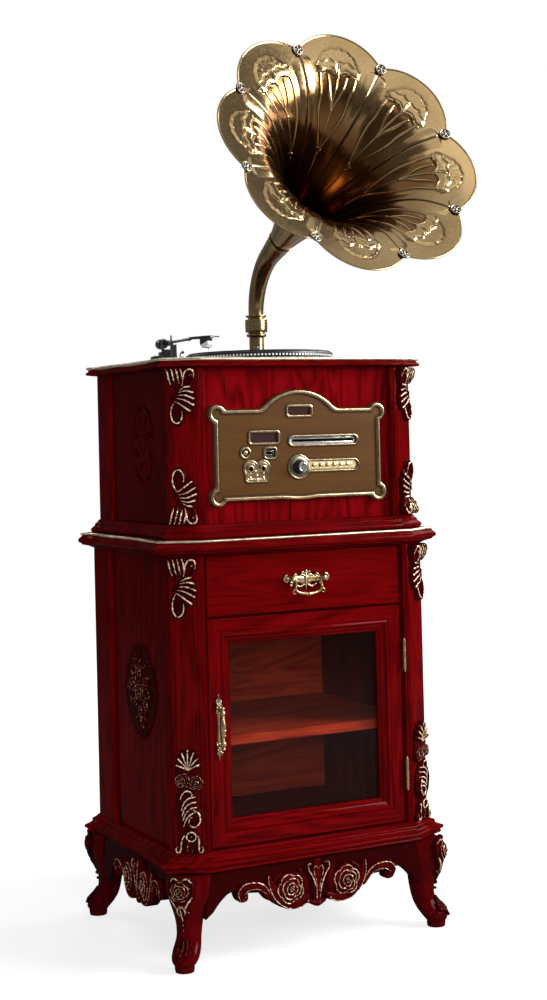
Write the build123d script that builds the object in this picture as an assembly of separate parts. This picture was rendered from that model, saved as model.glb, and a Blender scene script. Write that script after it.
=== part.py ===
"""Horn gramophone cabinet with a radio and disc console and a record deck.

A glazed cabinet with a drawer stands on four cabriole legs.  A console with a
brass fascia sits on it, and the record deck and a swivelling eight petal horn
stand on the console's top.  Millimetres, +Z up, the front faces -Y.
"""

from build123d import *
from math import cos, hypot, radians, sin
import os

# ---------------------------------------------------------------- driving sizes
LOWER_W = 500.0             # lower cabinet, over the posts
LOWER_D = 400.0
UPPER_W = 480.0             # console, over the posts
UPPER_D = 380.0
CANT_X = 42.0               # canted front corner, across the front
CANT_Y = 24.0               # and along the side
REAR_CHAMFER = 24.0

LEG_TOP = 158.0
CABINET_Z = 191.0           # floor board's top, where the cabinet's posts stand
CABINET_TOP_Z = 690.0
LOWER_TOP_Z = 718.0         # top of the slab that carries the console
CONSOLE_Z = 742.0
CONSOLE_TOP_Z = 1011.0
DECK_Z = 1028.0             # top of the console's lid

POST_X = 54.0               # corner post, across the front
FRONT_POST_Y = 50.0
PANEL = 14.0                # side panel thickness
REAR_POST_Y = 98.0          # where the rear corner posts begin
REAR_INNER = 24.0           # depth of the rear posts' inner flange

HINGE_X = 193.5             # door hinge pins
HINGE_Y = -203.2
HINGE_HALF = 27.0
HINGE_MIDDLES = (280.0, 492.0)

DOOR_TOP_Z = 581.5
DOOR_FACE_Y = -195.0
DOOR_T = 20.0
DOOR_HALF_W = 191.0
STILE = 45.0
SHELF_Z = 375.0
DRAWER_Z0 = 585.5
DRAWER_Z1 = 688.5

FASCIA_FACE_Y = -184.0
FASCIA_T = 8.0
REMOTE_WINDOW = (1.7, 934.0, 44.0, 13.0)        # middle x and z, width, height
DISPLAY_WINDOW = (-69.0, 888.5, 53.0, 16.0)
DISC_SLOT = (48.7, 881.5, 134.0, 12.0)
SCALE_SLOT = (64.0, 837.0, 106.0, 15.0)
SOCKET_WINDOW = (-57.5, 861.3, 25.0, 19.0)
KNOB_X = -1.3
KNOB_Z = 835.6
POWER_X = -105.7
POWER_Z = 862.6
JACK_X = (-96.5, -72.5)
JACK_R = 3.2
JACK_Z = 834.5
PRESETS = 6
PRESET_X = 29.0             # first preset button
PRESET_PITCH = 13.7
PRESET_Z = 837.0

GRILLE_Y = -36.0            # middle of the oval fretwork on each side of the console
GRILLE_Z = 881.0
GRILLE_HALF_Y = 52.0
GRILLE_HALF_Z = 70.0
INLET_HOLE_X = (138.0, 168.0)
INLET_HOLE_Z = (768.0, 790.0)

PLATTER_R = 136.0
PLATTER_X = 9.0
PLATTER_Y = -20.0
PLATTER_TOP_Z = 1042.5
SPINDLE_R = 3.6
JOURNAL_R = 5.0
HUB_R = 50.0
PULLEY_R = 8.0
PULLEY_REACH = 88.0         # motor shaft to platter spindle
PULLEY_ANGLE = 47.0         # the motor is to the left and front of the spindle
PULLEY_X = PLATTER_X - PULLEY_REACH * cos(radians(PULLEY_ANGLE))
PULLEY_Y = PLATTER_Y - PULLEY_REACH * sin(radians(PULLEY_ANGLE))
MOTOR_SHAFT_R = 1.5

ARM_X = -122.0
ARM_Y = 104.0
ARM_Z = 1070.0
ARM_TUBE = 134.0
ARM_ANGLE = -95.0           # direction of the parked arm, degrees from +X
HEAD_OFFSET = 23.0
HEAD_LENGTH = 57.0

HORN_X = 80.0               # horn pipe's vertical axis
HORN_Y = 131.0
HORN_TILT = 25.7            # mouth axis above the horizontal
ELBOW_R = 125.0
PIPE_BORE_R = 10.5
SPIGOT_R = 12.0             # the horn turns on this spigot
ELBOW_START_Z = 1126.5
NECK_RUN = 51.0             # straight length of the elbow after its bend
RIVET_RING_R = 218.5
PETALS = 8
PETAL_PHASE = 12.9          # angle of the first seam about the mouth's axis
LOBE_R = 253.0
SHEET_T = 0.9
MOUTH_RUN = 343.0           # elbow's end of bend to the rivet ring's plane

FIT = 0.05                  # radial clearance of a running fit

# The origin is on the floor, midway along the whole object's width and depth,
# which the horn carries away from the cabinet's own centre line.
ORIGIN_X = 29.2
ORIGIN_Y = -70.9

STANDING = (Align.CENTER, Align.CENTER, Align.MIN)
parts = {}


# ---------------------------------------------------------------- small helpers
def block(x0, x1, y0, y1, z0, z1):
    """Box between two corners."""
    centre = Pos((x0 + x1) / 2, (y0 + y1) / 2, (z0 + z1) / 2)
    return centre * Box(abs(x1 - x0), abs(y1 - y0), abs(z1 - z0))


def rod(x, y, z0, z1, radius):
    """Upright cylinder."""
    return Pos(x, y, (z0 + z1) / 2) * Cylinder(radius, z1 - z0)


def rod_x(x0, x1, y, z, radius):
    """Cylinder along X."""
    return Pos((x0 + x1) / 2, y, z) * Rot(0, 90, 0) * Cylinder(radius, x1 - x0)


def rod_y(x, y0, y1, z, radius):
    """Cylinder along Y."""
    return Pos(x, (y0 + y1) / 2, z) * Rot(90, 0, 0) * Cylinder(radius, y1 - y0)


def prism_z(points, z0, z1):
    """Upright prism over a polygon."""
    outline = make_face(Polyline(*[(x, y, z0) for x, y in points], close=True))
    return extrude(outline, amount=z1 - z0, dir=(0, 0, 1))


def prism_y(points, y0, y1):
    """Prism along Y over a polygon of (x, z) points."""
    outline = make_face(Polyline(*[(x, y0, z) for x, z in points], close=True))
    return extrude(outline, amount=y1 - y0, dir=(0, 1, 0))


def cabinet_outline(z, half_w, half_d, overhang=0.0):
    """Plan of the cabinet: canted front corners, small rear chamfers."""
    w = half_w + overhang
    d = half_d + overhang
    right = [(w, -d + CANT_Y), (w, d - REAR_CHAMFER), (w - REAR_CHAMFER, d)]
    left = [(-x, y) for x, y in reversed(right)]
    front = [(-w + CANT_X, -d), (w - CANT_X, -d)]
    return make_face(Polyline(*[(x, y, z) for x, y in right + left + front], close=True))


def moulding(half_w, half_d, levels):
    """Board whose edge follows (height, overhang) levels."""
    faces = [cabinet_outline(z, half_w, half_d, over) for z, over in levels]
    return loft(faces, ruled=True)


def mirrored(shape):
    """The shape and its mirror image across the centre line."""
    return [shape, mirror(shape, about=Plane.YZ)]


def keep(name, *shapes):
    """Store a node made of one or more separate solids."""
    solids = []
    for shape in shapes:
        solids += list(shape.solids())
    parts[name] = solids


# ---------------------------------------------------------------- base
def legs():
    """Four cabriole legs, each a run of rounded square sections on a diagonal."""
    # height, shift along the diagonal, side and corner radius
    sections = [
        (LEG_TOP, 12, 62, 12), (140, 15, 63, 15), (125, 16, 61, 17), (107, 15, 54, 16),
        (90, 13, 47, 14), (75, 12, 43, 13), (60, 13, 41, 13), (48, 15, 41, 13), (38, 21, 43, 14),
        (28, 29, 45, 15), (18, 35, 45, 16), (9, 38, 42, 16), (3, 38, 34, 13), (0, 38, 29, 12),
    ]
    faces = []
    for z, shift, side, radius in sections:
        x = LOWER_W / 2 - 28 + shift / 2**0.5
        y = LOWER_D / 2 - 28 + shift / 2**0.5
        faces.append(Pos(-x, -y, z) * RectangleRounded(side, side, radius))
    front_left = loft(faces, ruled=True)
    rear_left = mirror(front_left, about=Plane.XZ)
    keep("legs", *mirrored(front_left), *mirrored(rear_left))


def apron_edge(half_run, depths):
    """Scalloped lower edge: depths are heights at even steps from the middle out."""
    step = half_run / (len(depths) - 1)
    right = [(i * step, z) for i, z in enumerate(depths)]
    left = [(-x, z) for x, z in reversed(right[1:])]
    return left + right


def apron(half_run, depths, top):
    """Shaped apron board lying in XZ, 14 mm thick, its front on y = 0."""
    edge = apron_edge(half_run, depths)
    lower = Spline(*[(x, 0, z) for x, z in edge])
    sides = Polyline(lower @ 1, (half_run, 0, top), (-half_run, 0, top), lower @ 0)
    return extrude(make_face([lower, sides]), amount=14, dir=(0, 1, 0))


def aprons():
    front_run = LOWER_W / 2 - 54
    scallop = [84, 80, 86, 104, 116, 120, 106]
    plain = [120, 119, 117, 114, 110, 106, 102]
    front = Pos(0, -LOWER_D / 2 - 8, 0) * apron(front_run, scallop, LEG_TOP)
    rear = Pos(0, LOWER_D / 2 - 20, 0) * apron(front_run, plain, LEG_TOP)
    side_run = LOWER_D / 2 - 54
    side_board = Rot(0, 0, -90) * apron(side_run, scallop, LEG_TOP)
    left = Pos(-LOWER_W / 2 - 4, 0, 0) * side_board
    keep("aprons", front, rear, *mirrored(left))


def base_board():
    """Floor board with a heavy waist moulding round it."""
    levels = [(LEG_TOP, 8), (161, 16), (164, 21), (168, 22.4), (173, 21), (177, 14),
              (181, 10), (186, 8), (CABINET_Z, 2)]
    keep("base_board", moulding(LOWER_W / 2, LOWER_D / 2, levels))


# ---------------------------------------------------------------- lower cabinet
def post_sections(half_w, half_d, front_y, rear_y):
    """Plans of a left front post and a left rear post."""
    front = [(-half_w, -half_d + CANT_Y), (-half_w + CANT_X, -half_d), (-half_w + POST_X, -half_d),
             (-half_w + POST_X, front_y), (-half_w, front_y)]
    rear = [(-half_w, rear_y), (-half_w, half_d - REAR_CHAMFER),
            (-half_w + REAR_CHAMFER, half_d), (-half_w + POST_X, half_d),
            (-half_w + POST_X, half_d - REAR_INNER + 6), (-half_w + 20, half_d - REAR_INNER + 6),
            (-half_w + 20, rear_y)]
    return front, rear


def lower_carcase():
    half_w = LOWER_W / 2
    half_d = LOWER_D / 2
    front_y = -half_d + FRONT_POST_Y
    front, rear = post_sections(half_w, half_d, front_y, REAR_POST_Y)
    posts = [prism_z(plan, CABINET_Z, CABINET_TOP_Z) for plan in (front, rear)]
    keep("lower_posts", *mirrored(posts[0]), *mirrored(posts[1]))
    panel = block(-half_w + 6, -half_w + 6 + PANEL, front_y, REAR_POST_Y, CABINET_Z, CABINET_TOP_Z)
    keep("lower_side_panels", *mirrored(panel))
    back_y = half_d - REAR_INNER + 6
    keep("lower_back", block(-half_w + 20, half_w - 20, back_y - 8, back_y, CABINET_Z, CABINET_TOP_Z))


def inner_board(z0, z1, front):
    """Board that fills the lower cabinet from side to side behind the posts."""
    half_w = LOWER_W / 2
    post_y = -LOWER_D / 2 + FRONT_POST_Y
    back_y = LOWER_D / 2 - REAR_INNER - 2
    between = half_w - 6 - PANEL
    return prism_z(
        [(half_w - POST_X, front), (half_w - POST_X, post_y), (between, post_y), (between, back_y),
         (-between, back_y), (-between, post_y), (-half_w + POST_X, post_y),
         (-half_w + POST_X, front)],
        z0, z1)


def shelves_and_top():
    door_back = DOOR_FACE_Y + DOOR_T
    keep("drawer_divider", inner_board(DRAWER_Z0 - 17.5, DRAWER_Z0 - 3.5, door_back + 1))
    keep("shelf", inner_board(SHELF_Z - 16, SHELF_Z, door_back + 12))
    runner = block(-LOWER_W / 2 + POST_X, -181, door_back + 5, 160, DRAWER_Z0 - 3.5, DRAWER_Z0 + 16)
    keep("drawer_runners", *mirrored(runner))
    levels = [(CABINET_TOP_Z, 2), (693, 8), (695, 15), (698, 20), (700.5, 22.4), (704, 22.4),
              (706, 19), (709, 17), (713, 17), (715, 19), (LOWER_TOP_Z, 19)]
    keep("lower_top", moulding(LOWER_W / 2, LOWER_D / 2, levels))


# ---------------------------------------------------------------- drawer
def drawer():
    back = DOOR_FACE_Y + 18
    keep("drawer_front", block(-190.5, 190.5, DOOR_FACE_Y, back, DRAWER_Z0, DRAWER_Z1))
    side = block(-180.3, -168, back, 150, DRAWER_Z0 - 2.5, 668)
    rear = block(-168, 168, 138, 150, 590, 665)
    bottom = block(-168, 168, back, 138, 590, 596)
    keep("drawer_box", *mirrored(side), rear, bottom)


def drawer_pull():
    """Bat wing backplate with two bosses, and a bail that hangs from them."""
    face = DOOR_FACE_Y
    z = 638
    boss_x = 31
    wings = [(-46, z + 4), (-38, z + 12), (-24, z + 7), (-14, z + 11), (0, z + 15), (14, z + 11),
             (24, z + 7), (38, z + 12), (46, z + 4), (40, z - 8), (26, z - 6), (14, z - 14),
             (0, z - 17), (-14, z - 14), (-26, z - 6), (-40, z - 8)]
    plate = prism_y(wings, face - 2.5, face)
    pivot_y = face - 13
    for x in (-boss_x, boss_x):
        plate += rod_y(x, pivot_y - 4.5, face - 2, z + 3, 5)
    plate -= rod_x(-boss_x - 6, boss_x + 6, pivot_y, z + 3, 1.5 + FIT)
    keep("drawer_pull_plate", plate)
    drop = 26
    bail = rod_x(-boss_x - 5, -boss_x + 8, pivot_y, z + 3, 1.5)
    bail += rod_x(boss_x - 8, boss_x + 5, pivot_y, z + 3, 1.5)
    path = FilletPolyline((-boss_x + 8, pivot_y, z + 4), (-boss_x + 8, pivot_y, z + 3 - drop),
                          (boss_x - 8, pivot_y, z + 3 - drop), (boss_x - 8, pivot_y, z + 4), radius=9)
    bail += sweep(Plane(origin=path @ 0, z_dir=path % 0) * Circle(2.4), path=path)
    keep("drawer_bail", bail)


# ---------------------------------------------------------------- door
def door():
    z0 = CABINET_Z + 3
    z1 = DOOR_TOP_Z
    w = DOOR_HALF_W
    y0 = DOOR_FACE_Y
    y1 = y0 + DOOR_T
    stile = [(-w, z0), (-w + STILE, z0 + STILE), (-w + STILE, z1 - STILE), (-w, z1)]
    rail = [(-w, z0), (w, z0), (w - STILE, z0 + STILE), (-w + STILE, z0 + STILE)]
    head = [(x, z0 + z1 - z) for x, z in rail]
    rebate = block(-w + STILE - 6, w - STILE + 6, y1 - 6, y1, z0 + STILE - 6, z1 - STILE + 6)
    members = [prism_y(plan, y0, y1) for plan in (stile, rail, head)]
    members.append(mirror(members[0], about=Plane.YZ))
    keep("door_frame", *[member - rebate for member in members])
    glass = block(-w + STILE - 6, w - STILE + 6, y1 - 6, y1 - 2, z0 + STILE - 6, z1 - STILE + 6)
    keep("door_glass", glass)


def door_handle():
    """Long backplate on the left stile with a turned grip on two posts."""
    face = DOOR_FACE_Y
    x = -174
    middle = 398
    half = 56
    tips = [(x, middle + half), (x + 5, middle + 44), (x + 5, middle - 44), (x, middle - half),
            (x - 5, middle - 44), (x - 5, middle + 44)]
    handle = prism_y(tips, face - 3, face)
    grip_y = face - 18
    for z in (middle - 30, middle + 30):
        handle += rod_y(x, grip_y, face - 2, z, 3.5)
    profile = [(0, -36), (4.5, -34), (5.5, -28), (3.6, -22), (4.2, -8), (6.2, 4), (4.2, 16),
               (3.6, 24), (5.0, 30), (3.5, 35), (0, 36)]
    outline = Polyline(*[(r, 0, z) for r, z in profile], close=True)
    handle += Pos(x, grip_y, middle) * revolve(make_face(outline), axis=Axis.Z)
    keep("door_handle", handle)


def hinges():
    """Two butt hinges: post leaves with the pin, door leaves with the middle knuckle."""
    third = 2 * HINGE_HALF / 3
    post_leaves = []
    door_leaves = []
    for middle in HINGE_MIDDLES:
        z0 = middle - HINGE_HALF
        z1 = middle + HINGE_HALF
        fixed = rod(HINGE_X, HINGE_Y, z0, z0 + third, 3) + rod(HINGE_X, HINGE_Y, z1 - third, z1, 3)
        fixed += rod(HINGE_X, HINGE_Y, z0 - 2, z1 + 2, 1.3)
        fixed += block(194.8, 196, HINGE_Y + 3.3, -178, z0, z1)
        for low in (z0, z1 - third):
            fixed += block(194.8, 196, HINGE_Y + 1, HINGE_Y + 4, low, low + third)
        post_leaves.append(fixed)
        low = z0 + third + 0.2
        high = z1 - third - 0.2
        moving = rod(HINGE_X, HINGE_Y, low, high, 3)
        moving += block(191, 192.1, HINGE_Y + 3.3, -178, z0, z1)
        moving += block(191, 192.1, HINGE_Y + 1, HINGE_Y + 4, low, high)
        moving -= rod(HINGE_X, HINGE_Y, z0, z1, 1.3 + FIT)
        door_leaves.append(moving)
    keep("hinge_post_leaves", *post_leaves)
    keep("hinge_door_leaves", *door_leaves)


# ---------------------------------------------------------------- console case
def console_case():
    half_w = UPPER_W / 2
    half_d = UPPER_D / 2
    front_y = -half_d + 40
    rear_y = REAR_POST_Y + 6
    levels = [(LOWER_TOP_Z, 8), (721, 12), (724, 13), (728, 12), (731, 7), (736, 5), (CONSOLE_Z, 1)]
    keep("console_plinth", moulding(half_w, half_d, levels))
    front, rear = post_sections(half_w, half_d, front_y, rear_y)
    posts = [prism_z(plan, CONSOLE_Z, CONSOLE_TOP_Z) for plan in (front, rear)]
    keep("console_posts", *mirrored(posts[0]), *mirrored(posts[1]))
    back_y = half_d - REAR_INNER + 6
    back = block(-half_w + 20, half_w - 20, back_y - 8, back_y, CONSOLE_Z, CONSOLE_TOP_Z)
    back -= block(*INLET_HOLE_X, back_y - 9, back_y + 1, *INLET_HOLE_Z)
    keep("console_back", back)
    face = FASCIA_FACE_Y + FASCIA_T
    front_panel = block(-half_w + POST_X, half_w - POST_X, face, face + 12, CONSOLE_Z, CONSOLE_TOP_Z)
    front_panel -= block(-140, 145, face - 1, face + 13, 798, 928)
    front_panel -= block(-60, 60, face - 1, face + 13, 927, 952)
    keep("console_front", front_panel)
    side = block(-half_w + 6, -half_w + 18, front_y, rear_y, CONSOLE_Z, CONSOLE_TOP_Z)
    for hole in grille_holes():
        side -= hole
    keep("console_side_panels", *mirrored(side))
    levels = [(CONSOLE_TOP_Z, 3), (1012, 11), (1013, 16), (1016, 16), (1018, 14), (1021, 13),
              (1023, 15), (1026.5, 15), (DECK_Z, 14)]
    lid = moulding(half_w, half_d, levels)
    lid -= rod(HORN_X, HORN_Y, CONSOLE_TOP_Z - 1, DECK_Z + 1, PIPE_BORE_R)
    lid -= rod(PLATTER_X, PLATTER_Y, CONSOLE_TOP_Z - 1, DECK_Z + 1, 9)
    lid -= rod(PULLEY_X, PULLEY_Y, CONSOLE_TOP_Z - 1, DECK_Z + 1, 4)
    keep("console_top", lid)


def grille_holes():
    """Cut-outs of the oval fretwork: a ring of slots round a centre flower."""
    x = -UPPER_W / 2 + 12
    holes = []
    for i in range(8):
        angle = radians(22.5 + 45 * i)
        y = GRILLE_Y + 0.68 * GRILLE_HALF_Y * cos(angle)
        z = GRILLE_Z + 0.68 * GRILLE_HALF_Z * sin(angle)
        holes.append(Pos(x, y, z) * Rot(0, 90, 0) * Cylinder(13, 20))
    for i in range(4):
        angle = radians(90 * i)
        y = GRILLE_Y + 0.26 * GRILLE_HALF_Y * cos(angle)
        z = GRILLE_Z + 0.22 * GRILLE_HALF_Z * sin(angle)
        holes.append(Pos(x, y, z) * Rot(0, 90, 0) * Cylinder(6, 20))
    return holes


# ---------------------------------------------------------------- carvings
def corner_carving(half_w, half_d, z_top, height, depth, flip=False):
    """Carved bracket on a canted corner: a scroll that tapers to a curled tail."""
    # side profile in (depth off the face, height) and front half widths
    profile = [(0, 0), (depth * 0.55, -1), (depth, -0.1 * height), (depth * 0.95, -0.2 * height),
               (depth * 0.6, -0.36 * height), (depth * 0.5, -0.6 * height),
               (depth * 0.35, -0.85 * height), (depth * 0.45, -0.97 * height), (0, -height)]
    front = [(-20, 0), (20, 0), (21, -0.2 * height), (19, -0.55 * height), (10, -0.85 * height),
             (8, -height), (-8, -height), (-10, -0.85 * height), (-19, -0.55 * height),
             (-21, -0.2 * height)]
    sign = -1 if flip else 1
    side_face = make_face(Polyline(*[(0, -a, sign * b) for a, b in profile], close=True))
    body = extrude(side_face, amount=30, dir=(1, 0, 0), both=True)
    body &= prism_y([(a, sign * b) for a, b in front], -depth - 5, 5)
    middle_x = -half_w + CANT_X / 2
    middle_y = -half_d + CANT_Y / 2
    place = Plane(origin=(middle_x, middle_y, z_top), x_dir=(CANT_X, -CANT_Y, 0), z_dir=(0, 0, 1))
    return place.location * body


def carvings():
    upper = UPPER_W / 2, UPPER_D / 2
    lower = LOWER_W / 2, LOWER_D / 2
    carved = []
    carved += mirrored(corner_carving(*upper, CONSOLE_TOP_Z - 1, 104, 18))
    carved += mirrored(corner_carving(*upper, CONSOLE_Z + 1, 104, 18, flip=True))
    carved += mirrored(corner_carving(*lower, CABINET_TOP_Z - 1, 112, 18))
    carved += mirrored(corner_carving(*lower, CABINET_Z + 1, 176, 18, flip=True))
    keep("corner_carvings", *carved)
    oval = Pos(-LOWER_W / 2 + 6, -28, 446) * Rot(0, -90, 0) * Ellipse(86, 73)
    medallion = extrude(oval, amount=7)
    keep("side_medallions", *mirrored(medallion))


def base_carvings():
    """Flower and scroll relief on the front and side aprons."""
    relief = [(0, 150), (22, 146), (30, 138), (78, 140), (108, 132), (146, 136), (152, 120),
              (122, 112), (96, 96), (60, 82), (20, 86), (0, 88)]
    outline = relief + [(-x, z) for x, z in reversed(relief[1:-1])]
    face = -LOWER_D / 2 - 8
    front = prism_y(outline, face - 8, face)
    narrow = [(x * 0.8, z) for x, z in outline]
    side_x = -LOWER_W / 2 - 4
    side = Pos(side_x, 0, 0) * Rot(0, 0, -90) * prism_y(narrow, -8, 0)
    keep("base_carvings", front, *mirrored(side))


# ---------------------------------------------------------------- console front
def aperture(window, grow=0.0):
    """Through cut of a window in the fascia."""
    x, z, width, height = window
    half_w = width / 2 + grow
    half_h = height / 2 + grow
    y0 = FASCIA_FACE_Y - 1
    return block(x - half_w, x + half_w, y0, y0 + FASCIA_T + 2, z - half_h, z + half_h)


def fascia():
    """Fascia plate: round ears at the corners and an arch on its top edge."""
    y0 = FASCIA_FACE_Y
    y1 = y0 + FASCIA_T
    plate = block(-165, 165, y0, y1, 779.5, 938.5)
    for x in (-158.6, 158.6):
        for z in (787.5, 932):
            plate += rod_y(x, y0, y1, z, 17)
    arch_r = 96.5
    arch_z = 972 - arch_r
    arch = rod_y(0, y0, y1, arch_z, arch_r) & block(-100, 100, y0, y1, 930, 980)
    plate += arch
    for window in (REMOTE_WINDOW, DISPLAY_WINDOW, DISC_SLOT, SCALE_SLOT, SOCKET_WINDOW):
        plate -= aperture(window)
    plate -= rod_y(POWER_X, y0 - 1, y1 + 1, POWER_Z, 5.5)
    plate -= rod_y(KNOB_X, y0 - 1, y1 + 1, KNOB_Z, 6)
    for x in JACK_X:
        plate -= rod_y(x, y0 - 1, y1 + 1, JACK_Z, 5.5)
    keep("fascia_plate", plate)
    panes = []
    for x, z, width, height in (REMOTE_WINDOW, DISPLAY_WINDOW):
        panes.append(block(x - width / 2, x + width / 2, y0 + 3, y0 + 5, z - height / 2, z + height / 2))
    keep("display_windows", *panes)


def knob_and_buttons():
    shaft_r = 3.0
    knob = rod_y(KNOB_X, FASCIA_FACE_Y - 18, FASCIA_FACE_Y - 2, KNOB_Z, 11)
    knob += rod_y(KNOB_X, FASCIA_FACE_Y - 2, FASCIA_FACE_Y + 26, KNOB_Z, shaft_r)
    knob -= block(KNOB_X - 0.8, KNOB_X + 0.8, FASCIA_FACE_Y - 19, FASCIA_FACE_Y - 17,
                  KNOB_Z, KNOB_Z + 12)
    keep("tuning_knob", knob)
    power = rod_y(POWER_X, FASCIA_FACE_Y - 3, FASCIA_FACE_Y + 12, POWER_Z, 5)
    keep("power_button", power)
    for i in range(PRESETS):
        x = PRESET_X + i * PRESET_PITCH
        cap = rod_y(x, FASCIA_FACE_Y - 1.5, FASCIA_FACE_Y + 10, PRESET_Z, 3)
        keep(f"preset_button_{i + 1}", cap)


def electronics():
    """Receiver behind the fascia, disc player above it, sockets, speakers and mains inlet."""
    back_of_front = FASCIA_FACE_Y + FASCIA_T + 12
    body = block(-135, 140, back_of_front + 1, -60, 802, 862)
    body += block(KNOB_X - 8, KNOB_X + 8, FASCIA_FACE_Y + FASCIA_T + 2, back_of_front + 1,
                  KNOB_Z - 8, KNOB_Z + 8)
    body -= rod_y(KNOB_X, FASCIA_FACE_Y, FASCIA_FACE_Y + 30, KNOB_Z, 3 + FIT)
    keep("receiver_chassis", body)
    x, z, width, height = DISC_SLOT
    player = block(x - 76, x + 76, back_of_front + 1, -22, z - 14, z + 14)
    player += block(x - width / 2, x + width / 2, FASCIA_FACE_Y + 2, back_of_front + 1,
                    z - height / 2, z + height / 2)
    player -= block(x - 62, x + 62, FASCIA_FACE_Y - 1, -34, z - 2.5, z + 2.5)
    keep("cd_player", player)
    sockets = []
    jack = block(JACK_X[0] - 9, JACK_X[1] + 9, FASCIA_FACE_Y + FASCIA_T, back_of_front + 1, 822, 848)
    for x in JACK_X:
        jack += rod_y(x, FASCIA_FACE_Y - 2, FASCIA_FACE_Y + FASCIA_T + 1, JACK_Z, 5.2)
        jack -= rod_y(x, FASCIA_FACE_Y - 3, FASCIA_FACE_Y + 12, JACK_Z, JACK_R)
    sockets.append(jack)
    x, z, width, height = SOCKET_WINDOW
    port = block(x - width / 2, x + width / 2, FASCIA_FACE_Y + 2, back_of_front + 1,
                 z - height / 2, z + height / 2)
    port -= block(x - 6.2, x + 6.2, FASCIA_FACE_Y + 1, FASCIA_FACE_Y + 15, z - 2.4, z + 2.4)
    sockets.append(port)
    keep("input_sockets", *sockets)
    profile = [(0, 0), (62, 0), (62, 5), (52, 6), (28, 40), (38, 42), (38, 58), (0, 58)]
    cone = revolve(make_face(Polyline(*[(r, 0, h) for r, h in profile], close=True)), axis=Axis.Z)
    speaker = Pos(-UPPER_W / 2 + 18, GRILLE_Y, GRILLE_Z) * Rot(0, 90, 0) * cone
    keep("speakers", *mirrored(speaker))
    driver = rod(HORN_X, HORN_Y, 962, CONSOLE_TOP_Z, 26)
    driver -= rod(HORN_X, HORN_Y, 990, CONSOLE_TOP_Z + 1, PIPE_BORE_R)
    keep("horn_driver", driver)


def power_inlet():
    """Appliance inlet in the console's back; no lead is fitted."""
    back_y = UPPER_D / 2 - REAR_INNER + 6
    x0, x1 = INLET_HOLE_X
    z0, z1 = INLET_HOLE_Z
    inlet = block(x0, x1, back_y - 22, back_y, z0, z1)
    inlet += block(x0 - 9, x1 + 9, back_y, back_y + 3, z0 - 2, z1 + 2)
    inlet -= block(x0 + 3, x1 - 3, back_y - 14, back_y + 4, z0 + 3, z1 - 3)
    for x in (x0 + 8, (x0 + x1) / 2, x1 - 8):
        inlet += block(x - 1, x + 1, back_y - 15, back_y - 5, z0 + 9, z0 + 13)
    keep("power_inlet", inlet)


# ---------------------------------------------------------------- record deck
def deck():
    x = PLATTER_X
    y = PLATTER_Y
    mat_top = PLATTER_TOP_Z + 2
    bearing = rod(x, y, 1003, CONSOLE_TOP_Z, 18) + rod(x, y, CONSOLE_TOP_Z, DECK_Z, 9)
    bearing += rod(x, y, DECK_Z, mat_top, JOURNAL_R) + rod(x, y, mat_top, mat_top + 10, SPINDLE_R)
    bearing += Pos(x, y, mat_top + 10) * Cone(SPINDLE_R, 1.2, 2.4, align=STANDING)
    keep("platter_bearing", bearing)
    platter = rod(x, y, DECK_Z + 2.5, PLATTER_TOP_Z, PLATTER_R)
    platter -= rod(x, y, DECK_Z + 2, PLATTER_TOP_Z - 4.5, PLATTER_R - 6)
    platter += rod(x, y, DECK_Z + 2.5, PLATTER_TOP_Z - 4, HUB_R)
    platter -= rod(x, y, DECK_Z, mat_top, JOURNAL_R + FIT)
    keep("platter", platter)
    mat = rod(x, y, PLATTER_TOP_Z, mat_top, PLATTER_R - 5)
    mat -= rod(x, y, PLATTER_TOP_Z - 1, mat_top + 1, JOURNAL_R + 0.3)
    keep("platter_mat", mat)
    motor = rod(PULLEY_X, PULLEY_Y, 972, CONSOLE_TOP_Z, 24)
    motor -= rod(PULLEY_X, PULLEY_Y, 990, CONSOLE_TOP_Z + 1, MOTOR_SHAFT_R + FIT)
    keep("motor", motor)
    pulley = rod(PULLEY_X, PULLEY_Y, DECK_Z + 1, PLATTER_TOP_Z - 5.5, PULLEY_R)
    pulley += rod(PULLEY_X, PULLEY_Y, 992, DECK_Z + 2, MOTOR_SHAFT_R)
    keep("motor_pulley", pulley)
    belt = belt_loop(1.5) - belt_loop(0.3)
    keep("drive_belt", belt)


def belt_loop(gap):
    """Solid inside a belt line that runs round the platter's hub and the motor pulley."""
    z0 = DECK_Z + 4
    z1 = DECK_Z + 8
    big = HUB_R + gap
    small = PULLEY_R + gap
    offset = (big - small) / PULLEY_REACH
    across = (1 - offset**2) ** 0.5
    corners = [(offset * big, across * big), (PULLEY_REACH + offset * small, across * small),
               (PULLEY_REACH + offset * small, -across * small), (offset * big, -across * big)]
    body = prism_z(corners, 0, z1 - z0) + rod(0, 0, 0, z1 - z0, big)
    body += rod(PULLEY_REACH, 0, 0, z1 - z0, small)
    return Pos(PLATTER_X, PLATTER_Y, z0) * Rot(0, 0, 180 + PULLEY_ANGLE) * body


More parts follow.
